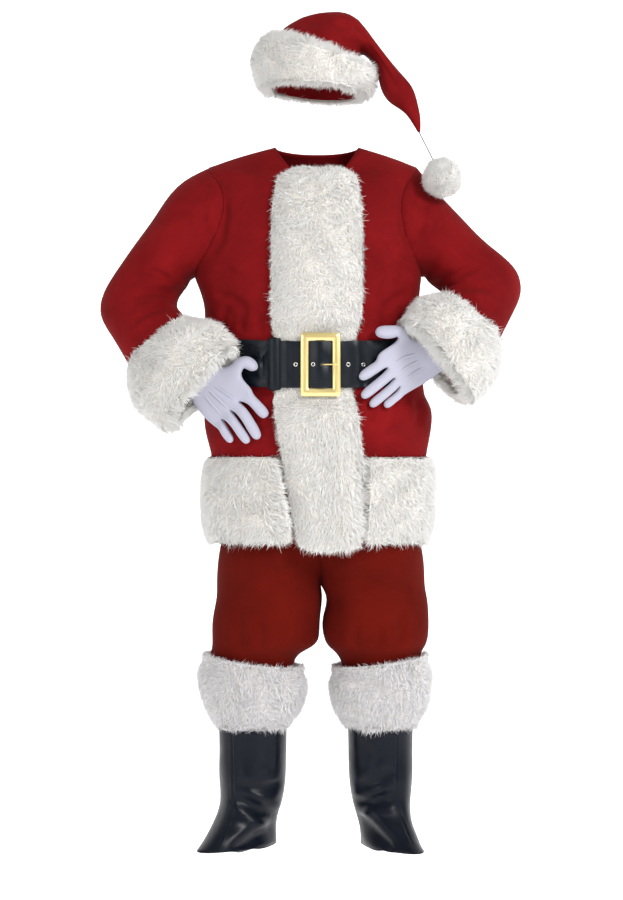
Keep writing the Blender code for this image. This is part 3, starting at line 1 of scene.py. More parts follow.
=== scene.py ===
# %% [markdown]
# # A fur-trimmed santa suit
#
# The suit is worn by nobody: jacket, belt, trousers, boot tops, gloves and hat keep the hollow
# shape of a standing figure with its hands on its hips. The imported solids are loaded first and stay
# as they are. Each cloth piece is then made again as a smoother shell with its finer creases, each
# fur band as a mat that thousands of tapered locks grow from, and each hard piece with its small
# edges rounded.

import math
from collections import namedtuple

import bmesh
import bpy
import numpy as np
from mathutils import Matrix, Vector
from mathutils.bvhtree import BVHTree


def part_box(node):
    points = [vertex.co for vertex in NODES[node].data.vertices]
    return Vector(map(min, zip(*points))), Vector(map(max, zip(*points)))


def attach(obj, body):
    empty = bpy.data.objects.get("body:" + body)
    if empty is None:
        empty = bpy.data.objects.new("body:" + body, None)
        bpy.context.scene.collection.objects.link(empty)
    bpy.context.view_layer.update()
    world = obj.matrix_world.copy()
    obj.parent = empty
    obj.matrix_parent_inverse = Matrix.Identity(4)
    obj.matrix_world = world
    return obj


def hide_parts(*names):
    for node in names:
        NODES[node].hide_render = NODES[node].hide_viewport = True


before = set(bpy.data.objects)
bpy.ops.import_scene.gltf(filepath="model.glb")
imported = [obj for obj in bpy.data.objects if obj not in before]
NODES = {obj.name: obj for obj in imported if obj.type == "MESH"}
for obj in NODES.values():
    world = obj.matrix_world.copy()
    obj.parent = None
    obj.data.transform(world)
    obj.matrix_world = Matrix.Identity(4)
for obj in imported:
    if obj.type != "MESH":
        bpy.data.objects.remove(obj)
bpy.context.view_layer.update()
GROUND = -1.5  # the origin lies on the shoulder line, this far above the ground
MM = 0.001

# %% [markdown]
# ## The camera
#
# The camera stands upright at the height of the belt's lower third and far enough back for a flat,
# even view of the whole suit. Its frame is taller than wide, so the lens is measured against the
# sensor's height.


# %% Camera
def add_object(name, data):
    made = bpy.data.objects.new(name, data)
    bpy.context.scene.collection.objects.link(made)
    return made


CAMERA_SPOT = Vector((-0.014, -4.6, -0.597))
lens = bpy.data.cameras.new("camera")
lens.sensor_fit = "VERTICAL"
lens.sensor_height = 36
lens.lens = 85.6
camera = add_object("camera", lens)
camera.location = CAMERA_SPOT
camera.rotation_euler = (math.pi / 2, 0, 0)
bpy.context.scene.camera = camera
print("camera at", tuple(round(c, 3) for c in camera.location))

# %% [markdown]
# ## Small tools for materials
#
# Every finish here is a few nodes round one Principled shader. What several finishes share, such as
# the way a nap catches the light in patches, is a node group with named inputs and outputs, made
# once. A helper keeps the wiring short: it adds a node, sets its values and joins its inputs.


# %% Node helpers
BLACK, WHITE = (0, 0, 0, 1), (1, 1, 1, 1)
MIX_SHARE, MIX_A, MIX_B, MIX_RESULT = 0, 6, 7, 2  # a Mix node's sockets when it mixes colours


def join(tree, node, links):
    for key, socket in links.items():
        tree.links.new(socket, node.inputs[key])


def add_node(tree, kind, values=None, links=None, **settings):
    """A node with values on its inputs, sockets linked to them, and settings of its own."""
    node = tree.nodes.new("ShaderNode" + kind)
    for key, value in settings.items():
        setattr(node, key, value)
    for key, value in (values or {}).items():
        node.inputs[key].default_value = value
    join(tree, node, links or {})
    return node


def start_group(name, **sides):
    """A node group with its sockets, and its input and output nodes. A tuple's socket is a colour."""
    group = bpy.data.node_groups.new(name, "ShaderNodeTree")
    for side, sockets in sides.items():
        for label, value in sockets.items():
            kind = "NodeSocketColor" if isinstance(value, tuple) else "NodeSocketFloat"
            socket = group.interface.new_socket(label, in_out=side, socket_type=kind)
            socket.default_value = value
    return group, group.nodes.new("NodeGroupInput"), group.nodes.new("NodeGroupOutput")


def start_material(name, color, rough, **sockets):
    """A material with plain values on its shader. Returns the material, its tree and its shader."""
    material = bpy.data.materials.new(name)
    material.use_nodes = True
    shader = material.node_tree.nodes["Principled BSDF"]
    shader.inputs["Base Color"].default_value = (*color, 1)
    shader.inputs["Roughness"].default_value = rough
    for key, value in sockets.items():
        shader.inputs[key.replace("_", " ")].default_value = value
    return material, material.node_tree, shader


def add_bump(tree, shader, height, strength, distance):
    values = {"Strength": strength, "Distance": distance}
    bump = add_node(tree, "Bump", values, {"Height": height})
    join(tree, shader, {"Normal": bump.outputs["Normal"]})
    return bump


# %% [markdown]
# ## Red plush
#
# Plush is a knit with a short upright nap. Brushed one way it looks lighter, the other way darker,
# so the red drifts in soft patches a few centimetres wide, and each tuft makes a grain of about a
# millimetre. The group gives both as one shade between two colours, and a height for the grain. A
# little sheen on the shader lightens the cloth where it turns away, as real plush does.


# %% Nap group
def make_nap():
    group, given, out = start_group(
        "brushed_nap",
        INPUT={"Dark": BLACK, "Light": WHITE, "Patch Scale": 9, "Tuft Scale": 600},
        OUTPUT={"Color": BLACK, "Height": 0},
    )
    place = add_node(group, "TexCoord").outputs["Object"]
    patches = add_node(
        group,
        "TexNoise",
        {"Detail": 5, "Roughness": 0.62, "Distortion": 0.6},
        {"Vector": place, "Scale": given.outputs["Patch Scale"]},
    )
    links = {"Vector": place, "Scale": given.outputs["Tuft Scale"]}
    tufts = add_node(group, "TexNoise", {"Detail": 2, "Roughness": 0.5}, links)
    links = {0: tufts.outputs["Fac"], 2: patches.outputs["Fac"]}
    both = add_node(group, "Math", {1: 0.45}, links, operation="MULTIPLY_ADD")
    spread = add_node(group, "MapRange", {"From Min": 0.45}, {"Value": both.outputs[0]})
    ends = {MIX_A: given.outputs["Dark"], MIX_B: given.outputs["Light"]}
    mixed = add_node(group, "Mix", None, {MIX_SHARE: spread.outputs[0], **ends}, data_type="RGBA")
    join(group, out, {"Color": mixed.outputs[MIX_RESULT], "Height": tufts.outputs["Fac"]})
    return group


NAP = make_nap()


def make_plush(name, dark, light, sheen):
    material, tree, shader = start_material(
        name,
        light,
        0.92,
        Sheen_Weight=sheen,
        Sheen_Roughness=0.45,
        Sheen_Tint=(1, 0.22, 0.2, 1),
        Specular_IOR_Level=0.08,
    )
    colors = {"Dark": (*dark, 1), "Light": (*light, 1)}
    nap = add_node(tree, "Group", colors, node_tree=NAP)
    join(tree, shader, {"Base Color": nap.outputs["Color"]})
    add_bump(tree, shader, nap.outputs["Height"], 0.35, 0.6 * MM)
    return material


JACKET_PLUSH = make_plush("jacket_plush", (0.112, 0.0026, 0.0038), (0.208, 0.0058, 0.0074), 0.04)
TROUSER_PLUSH = make_plush("trouser_plush", (0.074, 0.0026, 0.001), (0.114, 0.0047, 0.0016), 0.03)
print("plush made")

# %% [markdown]
# ## White fur
#
# Long-pile fake fur is darker at its roots, where little light gets in, and clean white at its
# tips. That shade is painted into the colour: each lock carries a value that runs from its root up
# to 1 at its tip, and the colour follows it, from a shaded cream to white. The mat between the
# roots gets a darker painted shade still. A slow noise keeps the bands from being one even white.
# Light passes on from hair to hair, which the shader's scattering and a faint painted glow stand in
# for. The boot tops carry a darker, greyer copy of the same fur, as painted shade.


# %% Fur material
# painted shade: the mat between the locks' roots is this much darker than the roots
MAT_PAINTED_SHADE = 0.8  # the mat under the locks, beside their roots


def make_fur(name, shaded_roots, tips):
    material, tree, shader = start_material(
        name,
        tips,
        0.95,
        Sheen_Weight=0.1,
        # a faint painted glow in the fur's own colour, which lifts its shade
        Emission_Strength=0.07,
        Specular_IOR_Level=0.1,
        Subsurface_Weight=0.45,
        Subsurface_Radius=(1, 0.9, 0.75),
        Subsurface_Scale=10 * MM,
    )
    along = add_node(tree, "Attribute", attribute_name="along").outputs["Fac"]
    place = add_node(tree, "TexCoord").outputs["Object"]
    drift = add_node(tree, "TexNoise", {"Scale": 14, "Detail": 4}, {"Vector": place})
    links = {0: drift.outputs["Fac"], 2: along}
    drifted = add_node(tree, "Math", {1: 0.3}, links, operation="MULTIPLY_ADD")
    ramp = add_node(tree, "ValToRGB", None, {"Fac": drifted.outputs[0]})
    # the ramp paints shade: darker at the locks' roots, darkest on the mat, white at the tips
    shaded_root_end, tip_end = ramp.color_ramp.elements
    shaded_root_end.position, shaded_root_end.color = 0.15, (*shaded_roots, 1)
    tip_end.position, tip_end.color = 0.75, (*tips, 1)
    ramp.color_ramp.elements.new(0).color = (*(MAT_PAINTED_SHADE * c for c in shaded_roots), 1)
    color = ramp.outputs["Color"]
    join(tree, shader, {"Base Color": color, "Emission Color": color})
    return material


FUR = make_fur("white_fur", (0.82, 0.78, 0.715), (0.985, 0.962, 0.918))
# a darker, greyer copy of the fur for the boot tops: painted shade
SHADED_BOOT_FUR = make_fur("boot_white_fur", (0.7, 0.67, 0.66), (0.85, 0.82, 0.82))
print("fur:", FUR.name, "and", SHADED_BOOT_FUR.name)

# %% [markdown]
# ## Black vinyl, gilt metal, glove knit
#
# Costume vinyl is a soft plastic skin on cloth, embossed with a fine leather grain. Its shine
# breaks up in smudges. The buckle is plated, with faint brushing. The gloves are a very fine
# stretch knit, cool white, with shade painted into the hollows between its loops.


# %% Vinyl, metal and knit
# painted shade: the knit is darker in the hollows between its loops
LOOP_HOLLOW_SHADE = 0.86  # how dark the knit is between its loops, beside a loop's middle


def make_grain():
    group, given, out = start_group(
        "embossed_grain",
        INPUT={"Grain Scale": 700, "Low": 0.3, "High": 0.5},
        OUTPUT={"Roughness": 0, "Height": 0},
    )
    place = add_node(group, "TexCoord").outputs["Object"]
    links = {"Vector": place, "Scale": given.outputs["Grain Scale"]}
    cells = add_node(group, "TexVoronoi", None, links)
    smudges = add_node(group, "TexNoise", {"Scale": 22, "Detail": 5}, {"Vector": place})
    range_ends = {"To Min": given.outputs["Low"], "To Max": given.outputs["High"]}
    links = {"Value": smudges.outputs["Fac"], **range_ends}
    rough = add_node(group, "MapRange", {"From Min": 0.35, "From Max": 0.65}, links)
    join(group, out, {"Roughness": rough.outputs[0], "Height": cells.outputs["Distance"]})
    return group


GRAIN = make_grain()


def make_vinyl(name, color, low, high, shine):
    material, tree, shader = start_material(name, color, (low + high) / 2, Specular_IOR_Level=shine)
    grain = add_node(tree, "Group", {"Low": low, "High": high}, node_tree=GRAIN)
    join(tree, shader, {"Roughness": grain.outputs["Roughness"]})
    add_bump(tree, shader, grain.outputs["Height"], 0.25, 0.4 * MM)
    return material


def make_metal(name, color, low, high):
    material, tree, shader = start_material(name, color, (low + high) / 2, Metallic=1)
    place = add_node(tree, "TexCoord").outputs["Object"]
    stretch = add_node(tree, "Mapping", {"Scale": (60, 400, 2600)}, {"Vector": place})
    links = {"Vector": stretch.outputs[0]}
    brush = add_node(tree, "TexNoise", {"Scale": 1, "Detail": 3}, links)
    links = {"Value": brush.outputs["Fac"]}
    rough = add_node(tree, "MapRange", {"To Min": low, "To Max": high}, links)
    join(tree, shader, {"Roughness": rough.outputs[0]})
    add_bump(tree, shader, brush.outputs["Fac"], 0.08, 0.2 * MM)
    return material


def make_knit(name, color, scale):
    material, tree, shader = start_material(name, color, 0.85, Sheen_Weight=0.2)
    place = add_node(tree, "TexCoord").outputs["Object"]
    loops = add_node(tree, "TexVoronoi", {"Scale": scale}, {"Vector": place})
    # painted shade in the hollows between the loops, where the bump sinks
    loop_shade = add_node(tree, "ValToRGB", None, {"Fac": loops.outputs["Distance"]})
    loop_shade.color_ramp.elements[0].color = (*color, 1)
    loop_shade.color_ramp.elements[1].color = (*(c * LOOP_HOLLOW_SHADE for c in color), 1)
    join(tree, shader, {"Base Color": loop_shade.outputs["Color"]})
    add_bump(tree, shader, loops.outputs["Distance"], 0.3, 0.5 * MM).invert = True
    return material


BOOT_VINYL = make_vinyl("boot_vinyl", (0.0014, 0.0032, 0.0084), 0.28, 0.4, 0.18)
BELT_VINYL = make_vinyl("belt_vinyl", (0.004, 0.0068, 0.011), 0.24, 0.38, 0.22)
GILT = make_metal("buckle_gilt", (0.92, 0.74, 0.32), 0.22, 0.4)
NICKEL = make_metal("eyelet_nickel", (0.78, 0.77, 0.72), 0.2, 0.35)
KNIT = make_knit("glove_knit", (0.435, 0.435, 0.53), 1100)
THREAD = make_knit("sewing_thread", (0.06, 0.06, 0.06), 2500)
print("materials:", len(bpy.data.materials))

# %% [markdown]
# ## From a faceted solid to smooth cloth
#
# A solid from the library is loose triangles. A copy is merged at its corners, pairs of triangles
# go back to quads, and a subdivision surface rounds them. Two things keep neighbours together at
# the seams: the rim of each wall, where outside meets lining, is creased so that it stays sharp,
# and the cage is moved outwards by as much as the smoothing would pull it in, so that the cloth
# still passes through its cut points.

# %% Smooth copies
SAME_CORNER = 0.01 * MM
RIM_WIDE = 3.4 * MM  # no wall is thicker than this
RIM_ANGLE = math.radians(55)
MOST_PULL = 4 * MM  # the cage is moved by no more than this in each of its rounds
CAGE_ROUNDS = 2
SUBDIVISIONS = 2
SMOOTH_TO = math.radians(60)  # an edge bent more than this shows as an edge


def merged_copy(node):
    bm = bmesh.new()
    bm.from_mesh(NODES[node].data)
    bmesh.ops.remove_doubles(bm, verts=bm.verts, dist=SAME_CORNER)
    bmesh.ops.join_triangles(
        bm, faces=bm.faces, angle_face_threshold=math.pi, angle_shape_threshold=math.pi
    )
    return bm


def crease_rims(bm):
    """Keeps the edges sharp that bound the narrow faces between outside and lining."""
    layer = bm.edges.layers.float.new("crease_edge")
    for edge in bm.edges:
        if len(edge.link_faces) != 2 or edge.calc_face_angle(0) < RIM_ANGLE:
            continue
        if any(min(e.calc_length() for e in face.edges) < RIM_WIDE for face in edge.link_faces):
            edge[layer] = 1


def object_of(name, bm, material):
    mesh = bpy.data.meshes.new(name)
    bm.to_mesh(mesh)
    bm.free()
    mesh.materials.append(material)
    return add_object(name, mesh)


def rows_of(items, field):
    values = np.empty(len(items) * 3)
    items.foreach_get(field, values)
    return values.reshape(-1, 3)


def spots_of(mesh):
    return rows_of(mesh.vertices, "co")


def normals_of(mesh):
    return rows_of(mesh.vertex_normals, "vector")


def faces_of(mesh):
    return [tuple(p.vertices) for p in mesh.polygons]


def put_spots(mesh, spots):
    mesh.vertices.foreach_set("co", spots.ravel())
    mesh.update()


def select_only(made):
    bpy.ops.object.select_all(action="DESELECT")
    made.select_set(True)
    bpy.context.view_layer.objects.active = made


def apply_modifier(made, modifier):
    select_only(made)
    bpy.ops.object.modifier_apply(modifier=modifier.name)


def stand_for(made, node):
    """The piece is drawn in the place of a solid, on the one body that the suit has."""
    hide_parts(node)
    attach(made, "root")


def smooth_shell(node, name, material):
    """A smooth shell on a node's form, with the seams where they were cut."""
    bm = merged_copy(node)
    crease_rims(bm)
    made = object_of(name, bm, material)
    modifier = made.modifiers.new("smooth", "SUBSURF")
    modifier.levels = 1
    cut = spots_of(made.data)
    cage = cut.copy()
    for _ in range(CAGE_ROUNDS):
        bpy.context.view_layer.update()
        evaluated = made.evaluated_get(bpy.context.evaluated_depsgraph_get())
        rounded = spots_of(evaluated.data)[: len(cut)]
        cage += np.clip(cut - rounded, -MOST_PULL, MOST_PULL)
        put_spots(made.data, cage)
    modifier.levels = SUBDIVISIONS
    apply_modifier(made, modifier)
    made.data.shade_smooth()
    made.data.set_sharp_from_angle(angle=SMOOTH_TO)
    stand_for(made, node)
    return made


def triangle_count(made):
    return sum(len(face) - 2 for face in faces_of(made.data))


# %% [markdown]
# ## Creases
#
# The solids hold the suit's largest folds. What is left are creases: a valley with a softer ridge
# on each side, that fades out at both ends. Each is a row in a table: the side of the garment that
# it is on, its width and depth, and the points it runs through, as seen from the front: how far to
# the wearer's left, and how high above the ground. All of these are in millimetres. A negative
# depth raises a line instead, as sewing does.

# %% Where a crease runs
Crease = namedtuple("Crease", "face wide deep path")
RIDGE_SHARE = 0.42  # how high the ridges are, as a share of the valley's depth
RIDGE_OFF, RIDGE_SPREAD = 1.9, 0.7  # how far out and how broad they are, in the valley's widths
FADE_SHARE = 0.25  # how much of its length a crease takes to fade out at each end
TURNED_AWAY = 0.35  # a crease fades where the cloth turns to the side more than this


def front(wide, deep, *path):
    return Crease("front", wide, deep, path)


def back(wide, deep, *path):
    return Crease("back", wide, deep, path)


def near_path(path, spots):
    """For each point the distance to a path, the nearest place on it, and its share of the way."""
    path = np.array(path, dtype=float)
    best, share = np.full(len(spots), np.inf), np.zeros(len(spots))
    nearest = np.zeros_like(spots)
    lengths = np.linalg.norm(np.diff(path, axis=0), axis=1)
    done = 0
    for a, b, length in zip(path, path[1:], lengths):
        run = b - a
        t = np.clip(((spots - a) @ run) / (run @ run), 0, 1)
        there = a + t[:, None] * run
        gap = np.linalg.norm(spots - there, axis=1)
        closer = gap < best
        best[closer], nearest[closer] = gap[closer], there[closer]
        share[closer] = (done + t[closer] * length) / lengths.sum()
        done += length
    return best, nearest, share


def along_crease(spots, crease):
    """How far each point lies from a crease, as seen from the front, and its share of the way along."""
    path = np.array(crease.path) / 1000  # in metres
    path[:, 1] += GROUND
    gap, _, share = near_path(path, spots[:, (0, 2)])
    return gap, share


def faces_crease(ways, crease):
    toward = -ways[:, 1] if crease.face == "front" else ways[:, 1]
    return np.clip(toward / TURNED_AWAY, 0, 1)


def crease_depth(spots, ways, crease):
    gap, share = along_crease(spots, crease)
    u = gap / (crease.wide * MM)
    form = -np.exp(-(u**2)) + RIDGE_SHARE * np.exp(-((u - RIDGE_OFF) ** 2) / RIDGE_SPREAD)
    fade = np.clip(np.minimum(share, 1 - share) / FADE_SHARE, 0, 1)
    return crease.deep * MM * form * fade * fade * (3 - 2 * fade) * faces_crease(ways, crease)


# %% [markdown]
# A point of the cloth moves along the way that the cloth faces, and a point of the lining along the
# opposite of its own, so the wall keeps its thickness. The shell's faces are too large for the
# finer creases, so the outside's edges are split near them first.

# %% Press creases in
REFINED_WIDTHS = 2.8  # edges are split this far from a crease, in its widths
LONGEST_WIDTHS = 0.75  # until they are this short
SPLIT_ROUNDS = 3
CLOTH = {}  # each cloth shell and the line through its middle, under its name


def unit(ways):
    return ways / np.maximum(np.linalg.norm(ways, axis=1), 1e-9)[:, None]


def dots(these, those):
    return np.einsum("ij,ij->i", these, those)


def outward_ways(spots, normals, axis):
    """The way that the outside faces at each point, and 1 for points outside, -1 for the lining's."""
    _, nearest, _ = near_path(axis, spots)
    side = np.sign(dots(normals, spots - nearest))
    return normals * side[:, None], side


def refine(made, axis, creases):
    """Splits the outside's edges near each crease until they are short beside its width."""
    bm = bmesh.new()
    bm.from_mesh(made.data)
    for _ in range(SPLIT_ROUNDS):
        bm.normal_update()
        bm.edges.ensure_lookup_table()
        ends = np.array([[v.co[:] for v in edge.verts] for edge in bm.edges])
        middle = ends.mean(axis=1)
        length = np.linalg.norm(ends[:, 0] - ends[:, 1], axis=1)
        normals = unit(np.array([[v.normal[:] for v in edge.verts] for edge in bm.edges]).sum(axis=1))
        ways, side = outward_ways(middle, normals, axis)
        near = np.zeros(len(middle), dtype=bool)
        for crease in creases:
            gap, _ = along_crease(middle, crease)
            wide = crease.wide * MM
            close = gap < REFINED_WIDTHS * wide + length / 2
            near |= close & (length > LONGEST_WIDTHS * wide) & (faces_crease(ways, crease) > 0)
        near &= side > 0
        edges = [bm.edges[k] for k in np.flatnonzero(near)]
        if not edges:
            break
        bmesh.ops.subdivide_edges(bm, edges=edges, cuts=1, use_grid_fill=True)
    bm.to_mesh(made.data)
    bm.free()


def press(made, axis, creases):
    refine(made, axis, creases)
    spots = spots_of(made.data)
    ways, _ = outward_ways(spots, normals_of(made.data), axis)
    moved = sum(crease_depth(spots, ways, crease) for crease in creases)
    put_spots(made.data, spots + ways * moved[:, None])
    print(f"{made.name}: {triangle_count(made)} triangles, {len(creases)} creases")


def creased_shell(node, name, material, axis, creases=()):
    made = smooth_shell(node, name, material)
    if creases:
        press(made, axis, creases)
    CLOTH[name] = (made, axis)


# %% [markdown]
# ## The jacket's cloth
#
# Two fronts, a back and two set-in sleeves. The body hangs from the shoulders and blouses over the
# belt, so short creases run up and down from the belt, and slanting ones run from each armpit
# towards the chest. The sleeves crease across the bend of the elbow.

# %% Jacket
BODY_AXIS = ((0, 0, -0.8), (0, 0, 0.06))
RIGHT_ARM_AXIS = (
    (-0.2, 0, -0.09),
    (-0.345, 0.004, -0.22),
    (-0.378, -0.02, -0.3),
    (-0.24, -0.16, -0.47),
)
LEFT_ARM_AXIS = (
    (0.18, 0, -0.09),
    (0.31, 0.004, -0.205),
    (0.345, -0.02, -0.262),
    (0.245, -0.16, -0.415),
)
FRONT_RIGHT_CREASES = (
    front(10, 5.4, (-232, 1300), (-205, 1345), (-196, 1400), (-200, 1450)),
    front(9, 4.1, (-238, 1262), (-190, 1275), (-150, 1262)),
    front(8, 3.5, (-225, 1235), (-180, 1222), (-140, 1190)),
    front(7, 3.2, (-205, 1150), (-198, 1185), (-185, 1215)),
    front(7, 3, (-160, 1145), (-158, 1180), (-150, 1205)),
    front(7, 2.7, (-120, 1142), (-122, 1170), (-128, 1192)),
    front(8, 3.5, (-200, 1020), (-207, 985), (-200, 940)),
    front(7, 3, (-150, 1018), (-152, 985), (-146, 950)),
    front(7, 2.7, (-105, 1016), (-108, 990), (-104, 960)),
)
FRONT_LEFT_CREASES = (
    front(10, 4.9, (205, 1320), (185, 1360), (182, 1410), (188, 1455)),
    front(9, 4.1, (205, 1268), (165, 1285), (125, 1275)),
    front(8, 3.5, (198, 1240), (160, 1220), (130, 1190)),
    front(7, 3, (185, 1150), (178, 1182), (168, 1210)),
    front(7, 2.7, (140, 1145), (138, 1172), (132, 1198)),
    front(8, 3.5, (205, 1020), (215, 985), (205, 945)),
    front(7, 3, (155, 1018), (160, 985), (150, 945)),
    front(7, 2.7, (108, 1016), (112, 985), (108, 950)),
)


def up_from_belt(x):
    bend = 1185 + 10 * math.sin(x / 25)
    return back(8, 3.5, (x, 1150), (x * 1.02, bend), (x * 0.98, 1218))


def down_from_belt(x):
    end = 935 + 12 * math.sin(x / 20)
    return back(8, 3.8, (x, 1024), (x * 1.03, 985), (x * 1.01, end))


BACK_CREASES = (
    back(13, 5.4, (-225, 1300), (-185, 1360), (-172, 1430)),
    back(13, 5.4, (205, 1300), (168, 1360), (158, 1430)),
    back(12, 4.1, (-200, 1255), (-120, 1225), (-30, 1215)),
    back(12, 4.1, (190, 1265), (120, 1240), (45, 1228)),
    *(up_from_belt(x) for x in (-170, -120, -60, -10, 50, 100, 160)),
    *(down_from_belt(x) for x in (-180, -130, -80, -20, 40, 90, 150)),
)
RIGHT_SLEEVE_CREASES = (
    front(9, 5.4, (-300, 1225), (-330, 1238), (-365, 1235), (-400, 1218)),
    front(8, 4.9, (-292, 1205), (-325, 1205), (-360, 1190), (-395, 1165)),
    front(8, 4.1, (-305, 1255), (-335, 1275), (-370, 1285)),
    front(9, 4.1, (-228, 1340), (-245, 1385), (-240, 1430)),
    front(8, 3.2, (-340, 1170), (-370, 1150), (-400, 1118)),
    back(10, 5.4, (-300, 1240), (-340, 1262), (-385, 1262)),
    back(9, 4.6, (-310, 1205), (-350, 1222), (-400, 1215)),
    back(10, 4.6, (-245, 1350), (-255, 1400), (-245, 1445)),
)
LEFT_SLEEVE_CREASES = (
    front(9, 4.9, (280, 1235), (305, 1245), (340, 1245), (375, 1238)),
    front(8, 4.1, (285, 1262), (310, 1280), (345, 1292)),
    front(8, 4.3, (290, 1215), (325, 1212), (360, 1200), (385, 1185)),
    front(9, 4.1, (205, 1345), (222, 1390), (220, 1435)),
    back(10, 5.4, (280, 1250), (320, 1272), (360, 1272)),
    back(9, 4.6, (290, 1222), (330, 1236), (375, 1232)),
    back(10, 4.6, (220, 1355), (230, 1400), (222, 1445)),
)
for piece, axis, creases in (
    ("front_right", BODY_AXIS, FRONT_RIGHT_CREASES),
    ("front_left", BODY_AXIS, FRONT_LEFT_CREASES),
    ("back", BODY_AXIS, BACK_CREASES),
    ("sleeve_right", RIGHT_ARM_AXIS, RIGHT_SLEEVE_CREASES),
    ("sleeve_left", LEFT_ARM_AXIS, LEFT_SLEEVE_CREASES),
):
    creased_shell(f"jacket_{piece}", f"{piece}_cloth", JACKET_PLUSH, axis, creases)

# %% [markdown]
# ## The trousers
#
# Straight plush legs, caught at the calf by the boot tops, so a little fullness hangs over each fur
# edge and soft upright drapes run down from the hip. The waistband is a plain cased elastic, hidden
# by the jacket.

# %% Trousers
RIGHT_LEG_AXIS = ((-0.138, 0.004, -1.15), (-0.112, 0, -1), (-0.1, 0, -0.43))
LEFT_LEG_AXIS = ((0.133, 0.004, -1.15), (0.124, 0, -1), (0.11, 0, -0.43))
RIGHT_LEG_CREASES = (
    front(9, 3, (-170, 478), (-165, 520), (-168, 570)),
    front(9, 3.2, (-125, 474), (-120, 515), (-124, 560)),
    front(9, 2.7, (-75, 478), (-72, 510), (-76, 545)),
    front(14, 3.5, (-60, 660), (-85, 630), (-120, 612)),
    back(10, 3.5, (-170, 478), (-160, 530), (-165, 600)),
    back(10, 3.5, (-100, 475), (-104, 520), (-100, 575)),
    back(15, 4.1, (-20, 660), (-70, 640), (-120, 645)),
)
LEFT_LEG_CREASES = (
    front(9, 3, (170, 478), (176, 520), (172, 575)),
    front(9, 3.2, (125, 474), (128, 512), (122, 555)),
    front(9, 2.7, (80, 478), (76, 510), (82, 545)),
    front(14, 3.5, (70, 660), (95, 632), (130, 615)),
    back(10, 3.5, (170, 478), (162, 530), (168, 600)),
    back(10, 3.5, (105, 475), (108, 520), (104, 575)),
    back(15, 4.1, (30, 660), (80, 640), (130, 645)),
)
for piece, axis, creases in (
    ("leg_right", RIGHT_LEG_AXIS, RIGHT_LEG_CREASES),
    ("leg_left", LEFT_LEG_AXIS, LEFT_LEG_CREASES),
    ("waistband", BODY_AXIS, ()),
):
    creased_shell(f"trousers_{piece}", f"{piece}_cloth", TROUSER_PLUSH, axis, creases)

# %% [markdown]
# ## The boot tops
#
# A boot top is a vinyl spat that turns any shoe into a boot. It is cut in panels, with an upright
# seam on its outer third, and it buckles into slanting folds over the ankle.

# %% Boot tops
RIGHT_BOOT_AXIS = ((-0.14, 0, -1.04), (-0.14, 0.004, -1.36), (-0.17, -0.04, -1.45))
LEFT_BOOT_AXIS = ((0.135, 0, -1.04), (0.135, 0.004, -1.36), (0.155, -0.04, -1.45))
RIGHT_BOOT_SEAM = ((-184, 345), (-182, 250), (-180, 185), (-178, 150), (-196, 100), (-214, 62))
LEFT_BOOT_SEAM = ((168, 345), (167, 250), (165, 190), (168, 150), (186, 100), (204, 64))
RIGHT_BOOT_CREASES = (
    front(2.2, 1.6, *RIGHT_BOOT_SEAM),
    front(11, 6.6, (-180, 196), (-130, 186), (-70, 190)),
    front(13, 9.4, (-182, 176), (-148, 156), (-112, 130), (-80, 108)),
    front(14, 8.4, (-78, 100), (-126, 84), (-182, 52)),
    front(10, 3, (-112, 320), (-108, 270), (-114, 215)),
    back(10, 5, (-190, 176), (-140, 156), (-90, 168)),
    back(9, 4.5, (-180, 126), (-140, 112), (-100, 126)),
    back(2.2, 1.6, (-140, 330), (-140, 200), (-140, 62)),
)
LEFT_BOOT_CREASES = (
    front(2.2, 1.6, *LEFT_BOOT_SEAM),
    front(11, 6.6, (78, 182), (114, 196), (164, 228)),
    front(12, 7.8, (74, 142), (112, 158), (164, 170)),
    front(14, 9, (72, 126), (112, 100), (164, 60)),
    front(10, 3, (104, 320), (100, 280), (106, 240)),
    back(10, 5, (182, 176), (134, 156), (86, 168)),
    back(9, 4.5, (172, 126), (134, 112), (94, 126)),
    back(2.2, 1.6, (134, 330), (134, 200), (134, 62)),
)
for piece, axis, creases in (
    ("boot_top_right", RIGHT_BOOT_AXIS, RIGHT_BOOT_CREASES),
    ("boot_top_left", LEFT_BOOT_AXIS, LEFT_BOOT_CREASES),
):
    creased_shell(piece, f"{piece}_vinyl", BOOT_VINYL, axis, creases)

# %% [markdown]
# ## The hat
#
# A long cone of plush with one seam. It stands up from its fur band, breaks over to the wearer's
# left and hangs down beside the face, so the cloth creases at the break.

# %% Hat
HAT_AXIS = (
    (-0.008, 0, 0.17),
    (0.01, 0.006, 0.27),
    (0.075, 0.018, 0.3),
    (0.155, 0.005, 0.22),
    (0.215, -0.044, 0.08),
)
HAT_FOLD = ((62, 1838), (86, 1806), (108, 1774), (144, 1712), (178, 1655))
HAT_CREASES = (
    front(10, 5.4, (30, 1795), (65, 1805), (98, 1800)),
    front(8, 6, *HAT_FOLD),
    front(12, 4.1, (-40, 1800), (-10, 1812), (20, 1806)),
    back(12, 5.4, (-30, 1790), (20, 1810), (75, 1800)),
    back(10, 4.1, (110, 1770), (140, 1740), (165, 1700)),
)
creased_shell("hat_crown", "hat_cloth", JACKET_PLUSH, HAT_AXIS, HAT_CREASES)

# %% [markdown]
# ## The gloves
#
# Thin stretch knit, smooth over the hand. Three raised points are sewn down the back of each.

